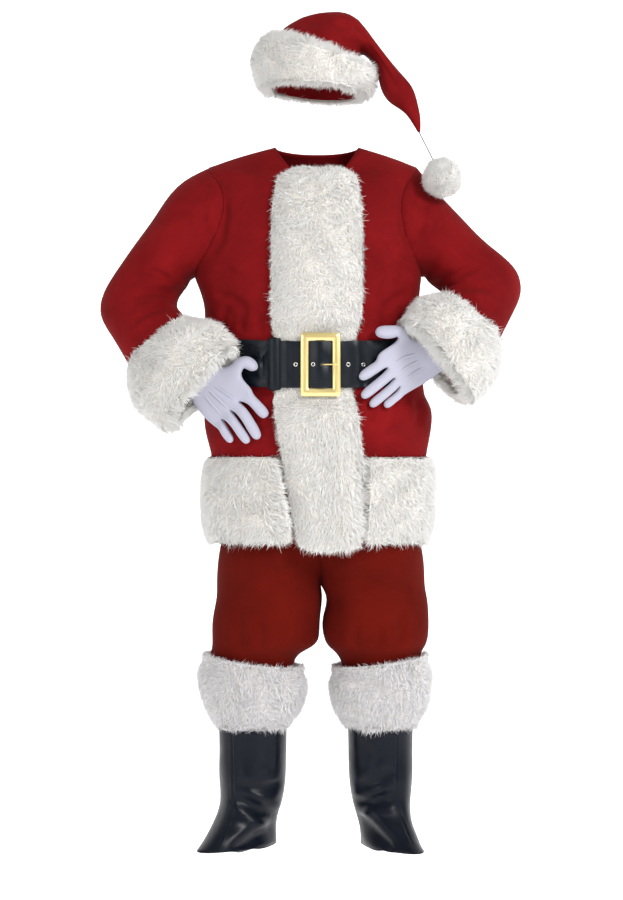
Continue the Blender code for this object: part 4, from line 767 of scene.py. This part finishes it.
# %% Gloves
RIGHT_HAND_AXIS = ((-0.245, -0.139, -0.444), (-0.18, -0.137, -0.506))
LEFT_HAND_AXIS = ((0.254, -0.146, -0.396), (0.156, -0.145, -0.437))
RIGHT_POINTS = (
    front(1.6, -2, (-222, 1040), (-196, 1022), (-172, 1006)),
    front(1.6, -2, (-230, 1028), (-208, 1008), (-188, 990)),
    front(1.6, -2, (-238, 1016), (-220, 996), (-203, 977)),
)
LEFT_POINTS = (
    front(1.6, -2, (205, 1104), (180, 1096), (158, 1083)),
    front(1.6, -2, (212, 1090), (190, 1080), (170, 1066)),
    front(1.6, -2, (220, 1076), (200, 1065), (182, 1050)),
)
creased_shell("glove_right", "glove_right_knit", KNIT, RIGHT_HAND_AXIS, RIGHT_POINTS)
creased_shell("glove_left", "glove_left_knit", KNIT, LEFT_HAND_AXIS, LEFT_POINTS)

# %% [markdown]
# ## Fur
#
# Each fur band is a mat on the solid's form, sunk a little below its surface, and locks of hair
# that grow from it up to the solid's surface. A lock is a bent, three-sided taper with a closed
# root. Its lean is the band's own nap, which hangs, plus swirls a few centimetres wide, so
# neighbouring locks lie together as tufts do. The locks' normals are mostly those of the band under
# them: light falls on fur as on one soft body, and not on each hair.

# %% The mat
# How far the locks lean down, away from the band's middle and about, how far those on its rims
# lean in over the opening, and how much longer those are.
Nap = namedtuple("Nap", "hang out swirl close rim")
# A band's node, name, middle line and nap, how many bent tufts and straight hairs it has, the seed
# of its chances, how deep its rims sink and how many more locks they have, beside the rest, whether
# it lies on the front only, how its locks are combed and how much longer they are from place to
# place, and its material.
Band = namedtuple(
    "Band",
    "node name axis nap tufts hairs seed rim_sink rim_more front_only comb reach material",
    defaults=(1, 1, False, None, None, FUR),
)
UNMOVED = -0.85  # what faces inwards more than this is backing, and stays where it is
RIM_FACING = 0.75  # what faces out or in less than this is rim
MAT_SINK = 8 * MM
THICKEST_PILE = 60 * MM  # where no other side is found
WAVES, WAVE_SUM = 7, 2.6
LUMP_SEED, LUMP_SIZE, LUMP_SHARE, MOST_LUMP = 5, 55 * MM, 0.12, 0.3


def swirl_field(spots, seed, size):
    """A smooth wandering direction at each point, made from a few sine waves of about one size."""
    dice = np.random.default_rng(seed)
    field = np.zeros_like(spots)
    for _ in range(WAVES):
        wave = dice.normal(size=3)
        wave *= 2 * math.pi / (size * np.linalg.norm(wave)) * dice.uniform(0.7, 1.6)
        push = dice.normal(size=3)
        field += np.sin(spots @ wave + dice.uniform(0, 2 * math.pi))[:, None] * push
    return field / WAVE_SUM


def facing_out(spots, normals, band):
    """1 where a point looks away from the band's middle, or to the front, -1 where it looks back."""
    if band.front_only:
        return -normals[:, 1]
    _, nearest, _ = near_path(band.axis, spots)
    return dots(normals, unit(spots - nearest))


def rim_share(out):
    """1 on a band's edges, fading to 0 on its face."""
    return np.clip(1 - np.abs(out) / RIM_FACING, 0, 1)


def tree_of(mesh):
    return BVHTree.FromPolygons([v.co for v in mesh.vertices], faces_of(mesh))


def fur_mat(band):
    """The solid's form with its outside and its rims sunk. Returns it and how far each point sank."""
    made = smooth_shell(band.node, band.name, band.material)
    spots, normals = spots_of(made.data), normals_of(made.data)
    out = facing_out(spots, normals, band)
    tree = tree_of(made.data)
    depth = np.zeros(len(spots))
    for k in np.flatnonzero(out > UNMOVED):
        inward = -Vector(normals[k])
        _, _, _, thick = tree.ray_cast(Vector(spots[k]) + inward * 0.1 * MM, inward)
        depth[k] = min(MAT_SINK, (thick or THICKEST_PILE) / 2)
    depth *= 1 - (1 - band.rim_sink) * rim_share(out)
    lumps = swirl_field(spots, LUMP_SEED, LUMP_SIZE)[:, 0] * LUMP_SHARE
    depth *= 1 + np.clip(lumps, -MOST_LUMP, MOST_LUMP)
    put_spots(made.data, spots - normals * depth[:, None])
    return made, depth


# %% [markdown]
# A lock grows from a random point of the mat. Three points round its root and its tip make a
# straight one, and a bent one has a second ring half way up, where it turns from its first way to
# its last. They are worked out for a whole band at once as arrays, because tens of thousands would
# be slow one by one.

# %% Locks
BENT_LOCK = [(2, 1, 0), (0, 1, 4, 3), (1, 2, 5, 4), (2, 0, 3, 5), (3, 4, 6), (4, 5, 6), (5, 3, 6)]
STRAIGHT_LOCK = [(2, 1, 0), (0, 1, 3), (1, 2, 3), (2, 0, 3)]
# the mat's value picks its darker painted shade from the fur's ramp, and a lock's values shade it from
# root to tip
MAT_ALONG = -0.3  # the value that picks the mat's colour
BENT_ALONG = [0.25, 0.25, 0.25, 0.7, 0.7, 0.7, 1]  # and those of a lock's points
STRAIGHT_ALONG = [0.4, 0.4, 0.4, 1]
BACKING = -0.55  # what faces inwards more than this carries no fur
LEAST_PILE = 4 * MM
LONGEST_LOCK = 26 * MM
ROOT_DEPTH = 0.5 * MM
MOST_LEAN = 1.7
EARLY_LEAN, LATE_LEAN, LATE_RISE = 0.55, 1.15, 0.75  # a lock leans more towards its tip
TUFT_STRAY, HAIR_STRAY = 0.24, 0.36  # how far single locks stray from their neighbours' way
LEAST_HEIGHT = 0.42  # of a lock that lies down, as a share of its length
NARROWING = 0.72  # half way up a bent lock
SOFTNESS = 0.9  # how much a lock takes its shading from the band and not from its own faces


def lock_roots(made, depth, count, seed, band=None):
    """Random points on a mat where it isn't backing, with the mat's normal and the depth there."""
    dice = np.random.default_rng(seed)
    spots, normals = spots_of(made.data), normals_of(made.data)
    faces = faces_of(made.data)
    corners = np.array([(f[0], f[k], f[k + 1]) for f in faces for k in range(1, len(f) - 1)])
    a, b, c = (spots[corners[:, k]] for k in range(3))
    cross = np.cross(b - a, c - a)
    area = np.linalg.norm(cross, axis=1) / 2
    if band is not None:
        out = facing_out((a + b + c) / 3, unit(cross), band)
        area[out < BACKING] = 0
        area[np.abs(out) < RIM_FACING] *= band.rim_more
    picked = dice.choice(len(corners), size=count, p=area / area.sum())
    u, v = dice.random(count), dice.random(count)
    over = u + v > 1
    u[over], v[over] = 1 - u[over], 1 - v[over]
    weights = np.stack([1 - u - v, u, v], axis=1)[:, :, None]
    chosen = corners[picked]
    root = (spots[chosen] * weights).sum(axis=1)
    normal = unit((normals[chosen] * weights).sum(axis=1))
    deep = np.maximum((depth[chosen] * weights[:, :, 0]).sum(axis=1), LEAST_PILE)
    return root, normal, deep, area.sum()


def grow_locks(root, normal, depth, lean, seed, radius, stretch=1, bent=True, unlike=0.4):
    """Locks as arrays: points, faces, the value along each lock, and each point's shading normal.

    A lock's shading normal differs from the band's by a share of how it strays, which unlike gives.
    """
    dice = np.random.default_rng(seed)
    count = len(root)
    lean = lean - normal * dots(lean, normal)[:, None]
    most = np.linalg.norm(lean, axis=1)[:, None]
    lean = unit(lean) * np.minimum(most, MOST_LEAN)
    stray = dice.normal(size=(count, 3)) * (TUFT_STRAY if bent else HAIR_STRAY)
    early = unit(normal + lean * EARLY_LEAN + stray)
    late = unit(normal * LATE_RISE + lean * LATE_LEAN + stray)
    height = dots(early * 0.5 + late * 0.5, normal)
    length = stretch * depth * dice.uniform(0.8, 1.25, count) / np.maximum(height, LEAST_HEIGHT)
    length = np.minimum(length, LONGEST_LOCK)
    thick = radius * dice.uniform(0.75, 1.2, count)
    turn = dice.uniform(0, 2 * math.pi, count)
    side = unit(np.cross(early, dice.normal(size=(count, 3))))
    cross = np.cross(early, side)
    middle = root + early * (length * 0.5)[:, None]
    values = BENT_ALONG if bent else STRAIGHT_ALONG
    points = np.empty((count, len(values), 3))
    for k in range(3):
        angle = turn + k * 2 * math.pi / 3
        round_way = side * np.cos(angle)[:, None] + cross * np.sin(angle)[:, None]
        points[:, k] = root - normal * ROOT_DEPTH + round_way * thick[:, None]
        if bent:
            points[:, 3 + k] = middle + round_way * (thick * NARROWING)[:, None]
    points[:, -1] = middle + late * (length * 0.5)[:, None]
    soft = unit(normal + stray * unlike)
    shading = np.repeat(soft[:, None, :], points.shape[1], axis=1)
    along = np.tile(values, (count, 1)) * dice.uniform(0.75, 1.1, count)[:, None]
    return points, BENT_LOCK if bent else STRAIGHT_LOCK, along.ravel(), shading.reshape(-1, 3)


def join_locks(made, grown):
    """Adds sets of locks to their mat, as one mesh with soft normals."""
    mat, faces = made.data, faces_of(made.data)
    spots, along = [spots_of(mat)], [np.full(len(mat.vertices), MAT_ALONG)]
    sizes, loops = [[len(face) for face in faces]], [np.concatenate(faces)]
    mat_count = first = len(spots[0])
    shading = []
    for points, pattern, values, soft in grown:
        count, each = points.shape[:2]
        firsts = first + np.arange(count)[:, None] * each
        loops.append((firsts + np.concatenate(pattern)).ravel())
        sizes.append(np.tile([len(face) for face in pattern], count))
        spots.append(points.reshape(-1, 3))
        along.append(values)
        shading.append(soft)
        first += count * each
    spots, along, sizes, loops = (np.concatenate(part) for part in (spots, along, sizes, loops))
    mesh = bpy.data.meshes.new(mat.name + "_locks")
    mesh.vertices.add(len(spots))
    mesh.vertices.foreach_set("co", spots.ravel())
    mesh.loops.add(len(loops))
    mesh.loops.foreach_set("vertex_index", loops.astype(np.int32))
    mesh.polygons.add(len(sizes))
    starts = np.concatenate([[0], np.cumsum(sizes)[:-1]])
    mesh.polygons.foreach_set("loop_start", starts.astype(np.int32))
    mesh.update(calc_edges=True)
    mesh.validate()
    mesh.materials.append(mat.materials[0])
    mesh.shade_smooth()
    values = mesh.attributes.new("along", "FLOAT", "POINT")
    values.data.foreach_set("value", along)
    blend = normals_of(mesh)
    blend[mat_count:] = unit(blend[mat_count:] * (1 - SOFTNESS) + np.concatenate(shading) * SOFTNESS)
    mesh.normals_split_custom_set_from_vertices(blend)
    made.data = mesh
    bpy.data.meshes.remove(mat)


# %% [markdown]
# A band gets its bent tufts first and then more and finer straight hairs, which reach a little
# beyond them and soften its outline.

# %% A whole band
TUFT_RADIUS, TUFT_REACH = 1.3 * MM, 1.1
HAIR_RADIUS, HAIR_REACH = 0.75 * MM, 1.3
BROAD_SWIRL, SMALL_SWIRL = 60 * MM, 16 * MM


def furry(band):
    """A fur piece: its mat, bent tufts on it, and finer straight hairs over them."""
    made, depth = fur_mat(band)
    nap, seed = band.nap, band.seed
    middle = np.array(band.axis).mean(axis=0)
    dice = np.random.default_rng(seed + 9)
    grown = []
    for count, start, radius, stretch, bent in (
        (band.tufts, seed, TUFT_RADIUS, TUFT_REACH, True),
        (band.hairs, seed + 5, HAIR_RADIUS, HAIR_REACH, False),
    ):
        root, normal, deep, area = lock_roots(made, depth, count, start, band)
        rim = rim_share(facing_out(root, normal, band))
        _, nearest, _ = near_path(band.axis, root)
        lean = np.array([0, 0, -nap.hang]) * (1 - rim)[:, None]
        lean = lean + unit((root - middle) * np.array([1, 0, 0.15])) * nap.out
        lean += unit(nearest - root) * (rim * nap.close)[:, None]
        lean += swirl_field(root, seed + 1, BROAD_SWIRL) * nap.swirl
        lean += swirl_field(root, seed + 2, SMALL_SWIRL) * 0.4
        deep = deep * (1 + rim * (nap.rim - 1)) * (1 + rim * dice.uniform(-0.35, 0.75, len(rim)))
        if band.comb is not None:
            lean += band.comb(root)
        if band.reach is not None:
            deep = deep * band.reach(root)
        grown.append(grow_locks(root, normal, deep, lean, start + 3, radius, stretch, bent))
    join_locks(made, grown)
    locks, triangles = band.tufts + band.hairs, triangle_count(made)
    print(f"{band.name}: {locks} locks on {area * 1e4:.0f} cm2, {triangles} triangles")
    return made


# %% Fur bands
# The front's and the hem's fur are combed over the line where they meet, so that it closes.
FRONT_MIDDLE = ((0, 0, -0.8), (0, 0, 0))
HEM_MIDDLE = ((0, 0, -0.79), (0, 0, -0.61))
RIGHT_WRIST = ((-0.35, -0.05, -0.36), (-0.23, -0.17, -0.49))
LEFT_WRIST = ((0.335, -0.05, -0.3), (0.23, -0.17, -0.43))
RIGHT_CALF = ((-0.14, 0, -1.19), (-0.14, 0, -1.03))
LEFT_CALF = ((0.135, 0, -1.19), (0.135, 0, -1.03))
BROW_MIDDLE = ((-0.01, 0, 0.16), (-0.01, 0, 0.3))
JOIN_LOW, JOIN_HIGH = -0.8, -0.62  # the heights of the line's ends
JOIN_OUT = (0.082, 0.098)  # and how far out they are
JOIN_FOOT, JOIN_TOP = -0.785, -0.6  # the combing fades out here
FOOT_FADE, TOP_FADE, JOIN_WIDE = 20 * MM, 10 * MM, 30 * MM
JOIN_COMB, JOIN_LONGER = 2.2, 1.1
HAT_SIDE, HAT_SIDE_WIDE, HAT_SIDE_LONGER = 0.07, 0.04, 0.7  # the side that the hat falls over


def near_join(root):
    """1 beside the line, fading out across it, and the side that it is on."""
    across = np.abs(np.abs(root[:, 0]) - np.interp(root[:, 2], (JOIN_LOW, JOIN_HIGH), JOIN_OUT))
    low = np.clip((JOIN_TOP - root[:, 2]) / TOP_FADE, 0, 1)
    low *= np.clip((root[:, 2] - JOIN_FOOT) / FOOT_FADE, 0, 1)
    low *= root[:, 1] < 0
    return np.clip(1 - across / JOIN_WIDE, 0, 1) * low, np.sign(root[:, 0])


def comb_outwards(root):
    near, side = near_join(root)
    return np.stack([near * side * JOIN_COMB, 0 * near, 0 * near], axis=1)


def comb_inwards(root):
    return -comb_outwards(root)


def longer_at_join(root):
    return 1 + JOIN_LONGER * near_join(root)[0]


def longer_at_side(root):
    return 1 + HAT_SIDE_LONGER * np.clip((root[:, 0] - HAT_SIDE) / HAT_SIDE_WIDE, 0, 1)


FRONT_NAP = Nap(0.8, 0.3, 0.4, 0, 0.9)
HEM_NAP = Nap(0.8, 0, 0.4, 0, 0.9)
CUFF_NAP = Nap(0.45, 0.2, 0.5, 1, 2)
BOOT_NAP = Nap(0.8, 0.1, 0.45, 0.15, 1.2)
HAT_NAP = Nap(0.3, 0.1, 0.6, 0.3, 1.3)
AT_JOIN = {"rim_sink": 0.6, "reach": longer_at_join}
OVER_HEM = {"front_only": True, "comb": comb_outwards, **AT_JOIN}
UNDER_FRONT = {"comb": comb_inwards, **AT_JOIN}
# the boot tops' fur is the darker copy, with its painted shade
ON_BOOT = {"rim_more": 2.5, "material": SHADED_BOOT_FUR}
ON_HAT = {"rim_more": 1.5, "reach": longer_at_side}
BANDS = (
    Band("jacket_fur_front", "front_fur", FRONT_MIDDLE, FRONT_NAP, 4300, 18000, 11, **OVER_HEM),
    Band("jacket_fur_hem", "hem_fur", HEM_MIDDLE, HEM_NAP, 5600, 21500, 21, **UNDER_FRONT),
    Band("jacket_fur_cuff_right", "cuff_right_fur", RIGHT_WRIST, CUFF_NAP, 3300, 13000, 31, 1, 2.2),
    Band("jacket_fur_cuff_left", "cuff_left_fur", LEFT_WRIST, CUFF_NAP, 3100, 12000, 41, 1, 2.6),
    Band("boot_top_fur_right", "boot_fur_right", RIGHT_CALF, BOOT_NAP, 2300, 8600, 51, **ON_BOOT),
    Band("boot_top_fur_left", "boot_fur_left", LEFT_CALF, BOOT_NAP, 2300, 8600, 61, **ON_BOOT),
    Band("hat_fur_band", "hat_band_fur", BROW_MIDDLE, HAT_NAP, 3200, 11500, 71, **ON_HAT),
)
FURS = {band.name: furry(band) for band in BANDS}

# %% [markdown]
# ## The pompom
#
# A ball of the same fur round a core, on a thread from the hat's tip. Its locks stand straight out.

# %% Pompom
CORE_RADIUS, CORE_PILE, CORE_SWIRL = 33.5 * MM, 9.5 * MM, 30 * MM
lowest, highest = (Vector(c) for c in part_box("hat_pompom"))
pompom_middle = (lowest + highest) / 2
bpy.ops.mesh.primitive_ico_sphere_add(subdivisions=4, radius=CORE_RADIUS, location=pompom_middle)
pompom = bpy.context.active_object
pompom.name = "pompom_fur"
bpy.ops.object.transform_apply()
pompom.data.shade_smooth()
pompom.data.materials.append(FUR)
ball_depth = np.full(len(pompom.data.vertices), CORE_PILE)
grown = []
for count, start, radius, bent in ((900, 81, 1.2 * MM, True), (8600, 86, 0.65 * MM, False)):
    root, normal, deep, _ = lock_roots(pompom, ball_depth, count, start)
    lean = swirl_field(root, 82, CORE_SWIRL) * 0.6
    grown.append(grow_locks(root, normal, deep, lean, start + 2, radius, bent=bent, unlike=1.1))
join_locks(pompom, grown)
stand_for(pompom, "hat_pompom")
print("pompom:", triangle_count(pompom), "triangles, middle", [round(c, 4) for c in pompom_middle])

# %% [markdown]
# ## The pompom's thread
#
# Two strands twisted round each other, from inside the hat's tip to inside the pompom.

# %% Thread
STRAND_RADIUS, STRAND_OFF = 0.75 * MM, 0.65 * MM  # the second is how far a strand lies from the middle
THREAD_TURNS, TURN_POINTS = 16, 10
THREAD_SEAT = 1.5 * MM  # how far each end goes in


def twisted_thread(node, name, material):
    ends = spots_of(NODES[node].data)
    upper = ends[:, 2] > ends[:, 2].mean()
    top, foot = Vector(ends[upper].mean(axis=0)), Vector(ends[~upper].mean(axis=0))
    way = (foot - top).normalized()
    top, foot = top - way * THREAD_SEAT, foot + way * THREAD_SEAT
    across = way.orthogonal().normalized()
    beside = way.cross(across)
    curve = bpy.data.curves.new(name, "CURVE")
    curve.dimensions = "3D"
    curve.bevel_depth = STRAND_RADIUS
    curve.bevel_resolution = 1
    curve.use_fill_caps = True
    curve.materials.append(material)
    last = THREAD_TURNS * TURN_POINTS
    for start in (0, math.pi):
        strand = curve.splines.new("POLY")
        strand.points.add(last)
        for k, point in enumerate(strand.points):
            turn = start + 2 * math.pi * k / TURN_POINTS
            off = (across * math.cos(turn) + beside * math.sin(turn)) * STRAND_OFF
            point.co = (*(top.lerp(foot, k / last) + off), 1)
    made = add_object(name, curve)
    select_only(made)
    bpy.ops.object.convert(target="MESH")
    made.data.shade_smooth()
    stand_for(made, node)
    print(f"{name}: {(foot - top).length:.3f} m long, {triangle_count(made)} triangles")


twisted_thread("hat_pompom_thread", "pompom_thread", THREAD)

# %% [markdown]
# ## The belt
#
# A wide vinyl strap, a keeper and a cast square buckle. Their forms are right in the solids, so
# copies of them get their edges rounded with a bevel. The strap is pinched where it runs through
# the keeper, so it creases beside it, and the keeper's face is rounded. The holes of the strap have
# small metal eyelets.

# %% Belt and buckle
STRAP_CREASES = (
    front(7, 4.4, (-90, 1124), (-110, 1098), (-111, 1068), (-92, 1040)),
    front(8, 4.2, (-168, 1120), (-140, 1102), (-112, 1086)),
    front(8, 3.8, (-160, 1052), (-134, 1062), (-104, 1046)),
    front(7, -1.6, (-64, 1150), (-64, 1080), (-64, 1010)),
    front(9, -1.8, (70, 1150), (82, 1090), (78, 1010)),
)
KEEPER_CREASES = (front(9, -3.6, (-94, 1190), (-93, 1080), (-92, 970)),)
ROUNDED_FROM, SHARP_FROM = math.radians(40), math.radians(35)  # an edge's angle


def rounded_copy(node, name, material, width):
    made = object_of(name, merged_copy(node), material)
    modifier = made.modifiers.new("edges", "BEVEL")
    modifier.width = width
    modifier.segments = 3
    modifier.limit_method = "ANGLE"
    modifier.angle_limit = ROUNDED_FROM
    apply_modifier(made, modifier)
    made.data.shade_smooth()
    made.data.set_sharp_from_angle(angle=SHARP_FROM)
    stand_for(made, node)
    print(f"{name}: {triangle_count(made)} triangles")
    return made


strap = rounded_copy("belt_strap", "strap_vinyl", BELT_VINYL, 0.7 * MM)
keeper = rounded_copy("belt_keeper", "keeper_vinyl", BELT_VINYL, 0.6 * MM)
rounded_copy("belt_buckle", "buckle_metal", GILT, 1.4 * MM)
press(strap, BODY_AXIS, STRAP_CREASES)
press(keeper, BODY_AXIS, KEEPER_CREASES)

# %% Eyelets
EYELET_X = (-0.047, -0.0106, 0.0623, 0.094)
EYELET_HEIGHT = GROUND + 1.0805
EYELET_RADIUS, EYELET_RIM = 3.6 * MM, 1 * MM
IN_FRONT = -0.4
RING_OUT, DISC_OUT = 0.2 * MM, 0.3 * MM  # how far the ring's and the disc's middles stand out
DISC_SHARE, DISC_THICK = 0.9, 0.5 * MM  # how wide a disc is beside its ring
DISC_SLOT = 1
strap_tree = tree_of(strap.data)


def add_eyelet(number, x):
    """A flat ring on the strap's face with a dark disc in it, turned to the strap."""
    start = Vector((x, IN_FRONT, EYELET_HEIGHT))
    spot, normal, _, _ = strap_tree.ray_cast(start, Vector((0, 1, 0)))
    turn = normal.to_track_quat("Z", "Y").to_euler()
    sizes = {"major_radius": EYELET_RADIUS, "minor_radius": EYELET_RIM}
    place = {"location": spot + normal * RING_OUT, "rotation": turn}
    bpy.ops.mesh.primitive_torus_add(major_segments=28, minor_segments=8, **sizes, **place)
    ring = bpy.context.active_object
    ring.name = f"eyelet_{number}"
    sizes = {"radius": EYELET_RADIUS * DISC_SHARE, "depth": DISC_THICK}
    place = {"location": spot + normal * DISC_OUT, "rotation": turn}
    bpy.ops.mesh.primitive_cylinder_add(vertices=24, **sizes, **place)
    disc = bpy.context.active_object
    for made in (ring, disc):
        made.data.materials.append(NICKEL)
        made.data.materials.append(BELT_VINYL)
    for face in disc.data.polygons:
        face.material_index = DISC_SLOT
    ring.select_set(True)
    bpy.context.view_layer.objects.active = ring
    bpy.ops.object.join()
    bpy.ops.object.transform_apply()
    ring.data.shade_smooth()
    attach(ring, "root")
    return ring


eyelets = [add_eyelet(number, x) for number, x in enumerate(EYELET_X, start=1)]
print("eyelets:", [eyelet.name for eyelet in eyelets])

# %% [markdown]
# ## What each cloth was cut to
#
# Sewn cloth keeps the area it was cut to. Each shell is declared with the width and length of its
# pattern piece, all round on a tube, and its flat area where the pattern is shaped.

Cut = namedtuple("Cut", "name wide long area trims held", defaults=((), "hung"))
CUTS = (
    Cut("front_right_cloth", 0.37, 0.8, 0.251, ("front_fur",)),
    Cut("front_left_cloth", 0.35, 0.8, 0.238),
    Cut("back_cloth", 0.72, 0.8, 0.496, ("hem_fur",)),
    Cut("sleeve_right_cloth", 0.48, 0.63, 0.265, ("cuff_right_fur",)),
    Cut("sleeve_left_cloth", 0.46, 0.56, 0.226, ("cuff_left_fur",)),
    Cut("leg_right_cloth", 0.62, 0.75, 0.415),
    Cut("leg_left_cloth", 0.62, 0.75, 0.41),
    Cut("waistband_cloth", 1.12, 0.045, None, (), "gathered"),
    Cut("boot_top_right_vinyl", 0.47, 0.45, 0.19, ("boot_fur_right",), "stretched"),
    Cut("boot_top_left_vinyl", 0.46, 0.45, 0.182, ("boot_fur_left",), "stretched"),
    Cut("hat_cloth", 0.62, 0.5, 0.154, ("hat_band_fur",)),
    Cut("glove_right_knit", 0.24, 0.26, 0.046, (), "stretched"),
    Cut("glove_left_knit", 0.24, 0.26, 0.045, (), "stretched"),
)


def outside_area(made, axis):
    _, side = outward_ways(spots_of(made.data), normals_of(made.data), axis)
    return sum(p.area for p in made.data.polygons if side[list(p.vertices)].mean() > 0)


for cut in CUTS:
    piece, axis = CLOTH[cut.name]
    area = cut.area or cut.wide * cut.long
    print(f"{cut.name}: {outside_area(piece, axis):.3f} m2 outside, cut from {area:.3f} m2")

# %% [markdown]
# ## Floor and light
#
# A pale floor turns up into a pale wall behind, so that nothing but the suit stands out. The paper
# glows a little, which keeps it even, and it is clear from behind, so that a camera behind the wall
# or under the floor sees through it. The world is bright and even, a large soft lamp from the upper
# right, as the camera sees it, makes gentle shadows, and a weaker, larger one from the left fills
# them.


# %% Floor and light
NEAR_END, BEND_START, BEND_RADIUS, WALL_TOP, HALF_WIDE = -7, 2.2, 1, 5, 9
BEND_STEPS = 12


def add_floor():
    profile = [(NEAR_END, GROUND)]
    for k in range(BEND_STEPS + 1):
        angle = math.pi / 2 * k / BEND_STEPS
        back, up = BEND_RADIUS * math.sin(angle), BEND_RADIUS * (1 - math.cos(angle))
        profile.append((BEND_START + back, GROUND + up))
    profile.append((BEND_START + BEND_RADIUS, WALL_TOP))
    bm = bmesh.new()
    rows = [[bm.verts.new((x, y, z)) for y, z in profile] for x in (-HALF_WIDE, HALF_WIDE)]
    for k in range(len(profile) - 1):
        bm.faces.new((rows[0][k], rows[1][k], rows[1][k + 1], rows[0][k + 1]))
    glow = {"Emission_Strength": 0.6, "Emission_Color": WHITE}
    paper, tree, shader = start_material("pale_paper", (0.93, 0.93, 0.93), 0.9, **glow)
    behind = add_node(tree, "NewGeometry").outputs["Backfacing"]
    solid = add_node(tree, "Math", {0: 1}, {1: behind}, operation="SUBTRACT")
    join(tree, shader, {"Alpha": solid.outputs[0]})
    floor = object_of("floor", bm, paper)
    floor.data.shade_smooth()


def add_lamp(name, spot, aim, size, power):
    light = bpy.data.lights.new(name, "AREA")
    light.shape = "DISK"
    light.size = size
    light.energy = power
    lamp = add_object(name, light)
    lamp.location = spot
    lamp.rotation_euler = (Vector(aim) - Vector(spot)).to_track_quat("-Z", "Y").to_euler()


add_floor()
world = bpy.data.worlds.new("studio")
bpy.context.scene.world = world
world.use_nodes = True
sky = world.node_tree.nodes["Background"]
sky.inputs["Color"].default_value = WHITE
sky.inputs["Strength"].default_value = 0.55
add_lamp("key", (2.9, -4.1, 1.9), (0, 0, -0.4), 1.6, 205)
add_lamp("fill", (-3.2, -4, 0.6), (0, 0, -0.6), 2.4, 45)
bpy.context.scene.view_settings.view_transform = "Standard"
print("floor and lamps made")

# %% Sizes and finish
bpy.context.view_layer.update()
made_here = [o for o in bpy.data.objects if o.type == "MESH" and o.name not in NODES]
print("triangles made here:", sum(triangle_count(made) for made in made_here))
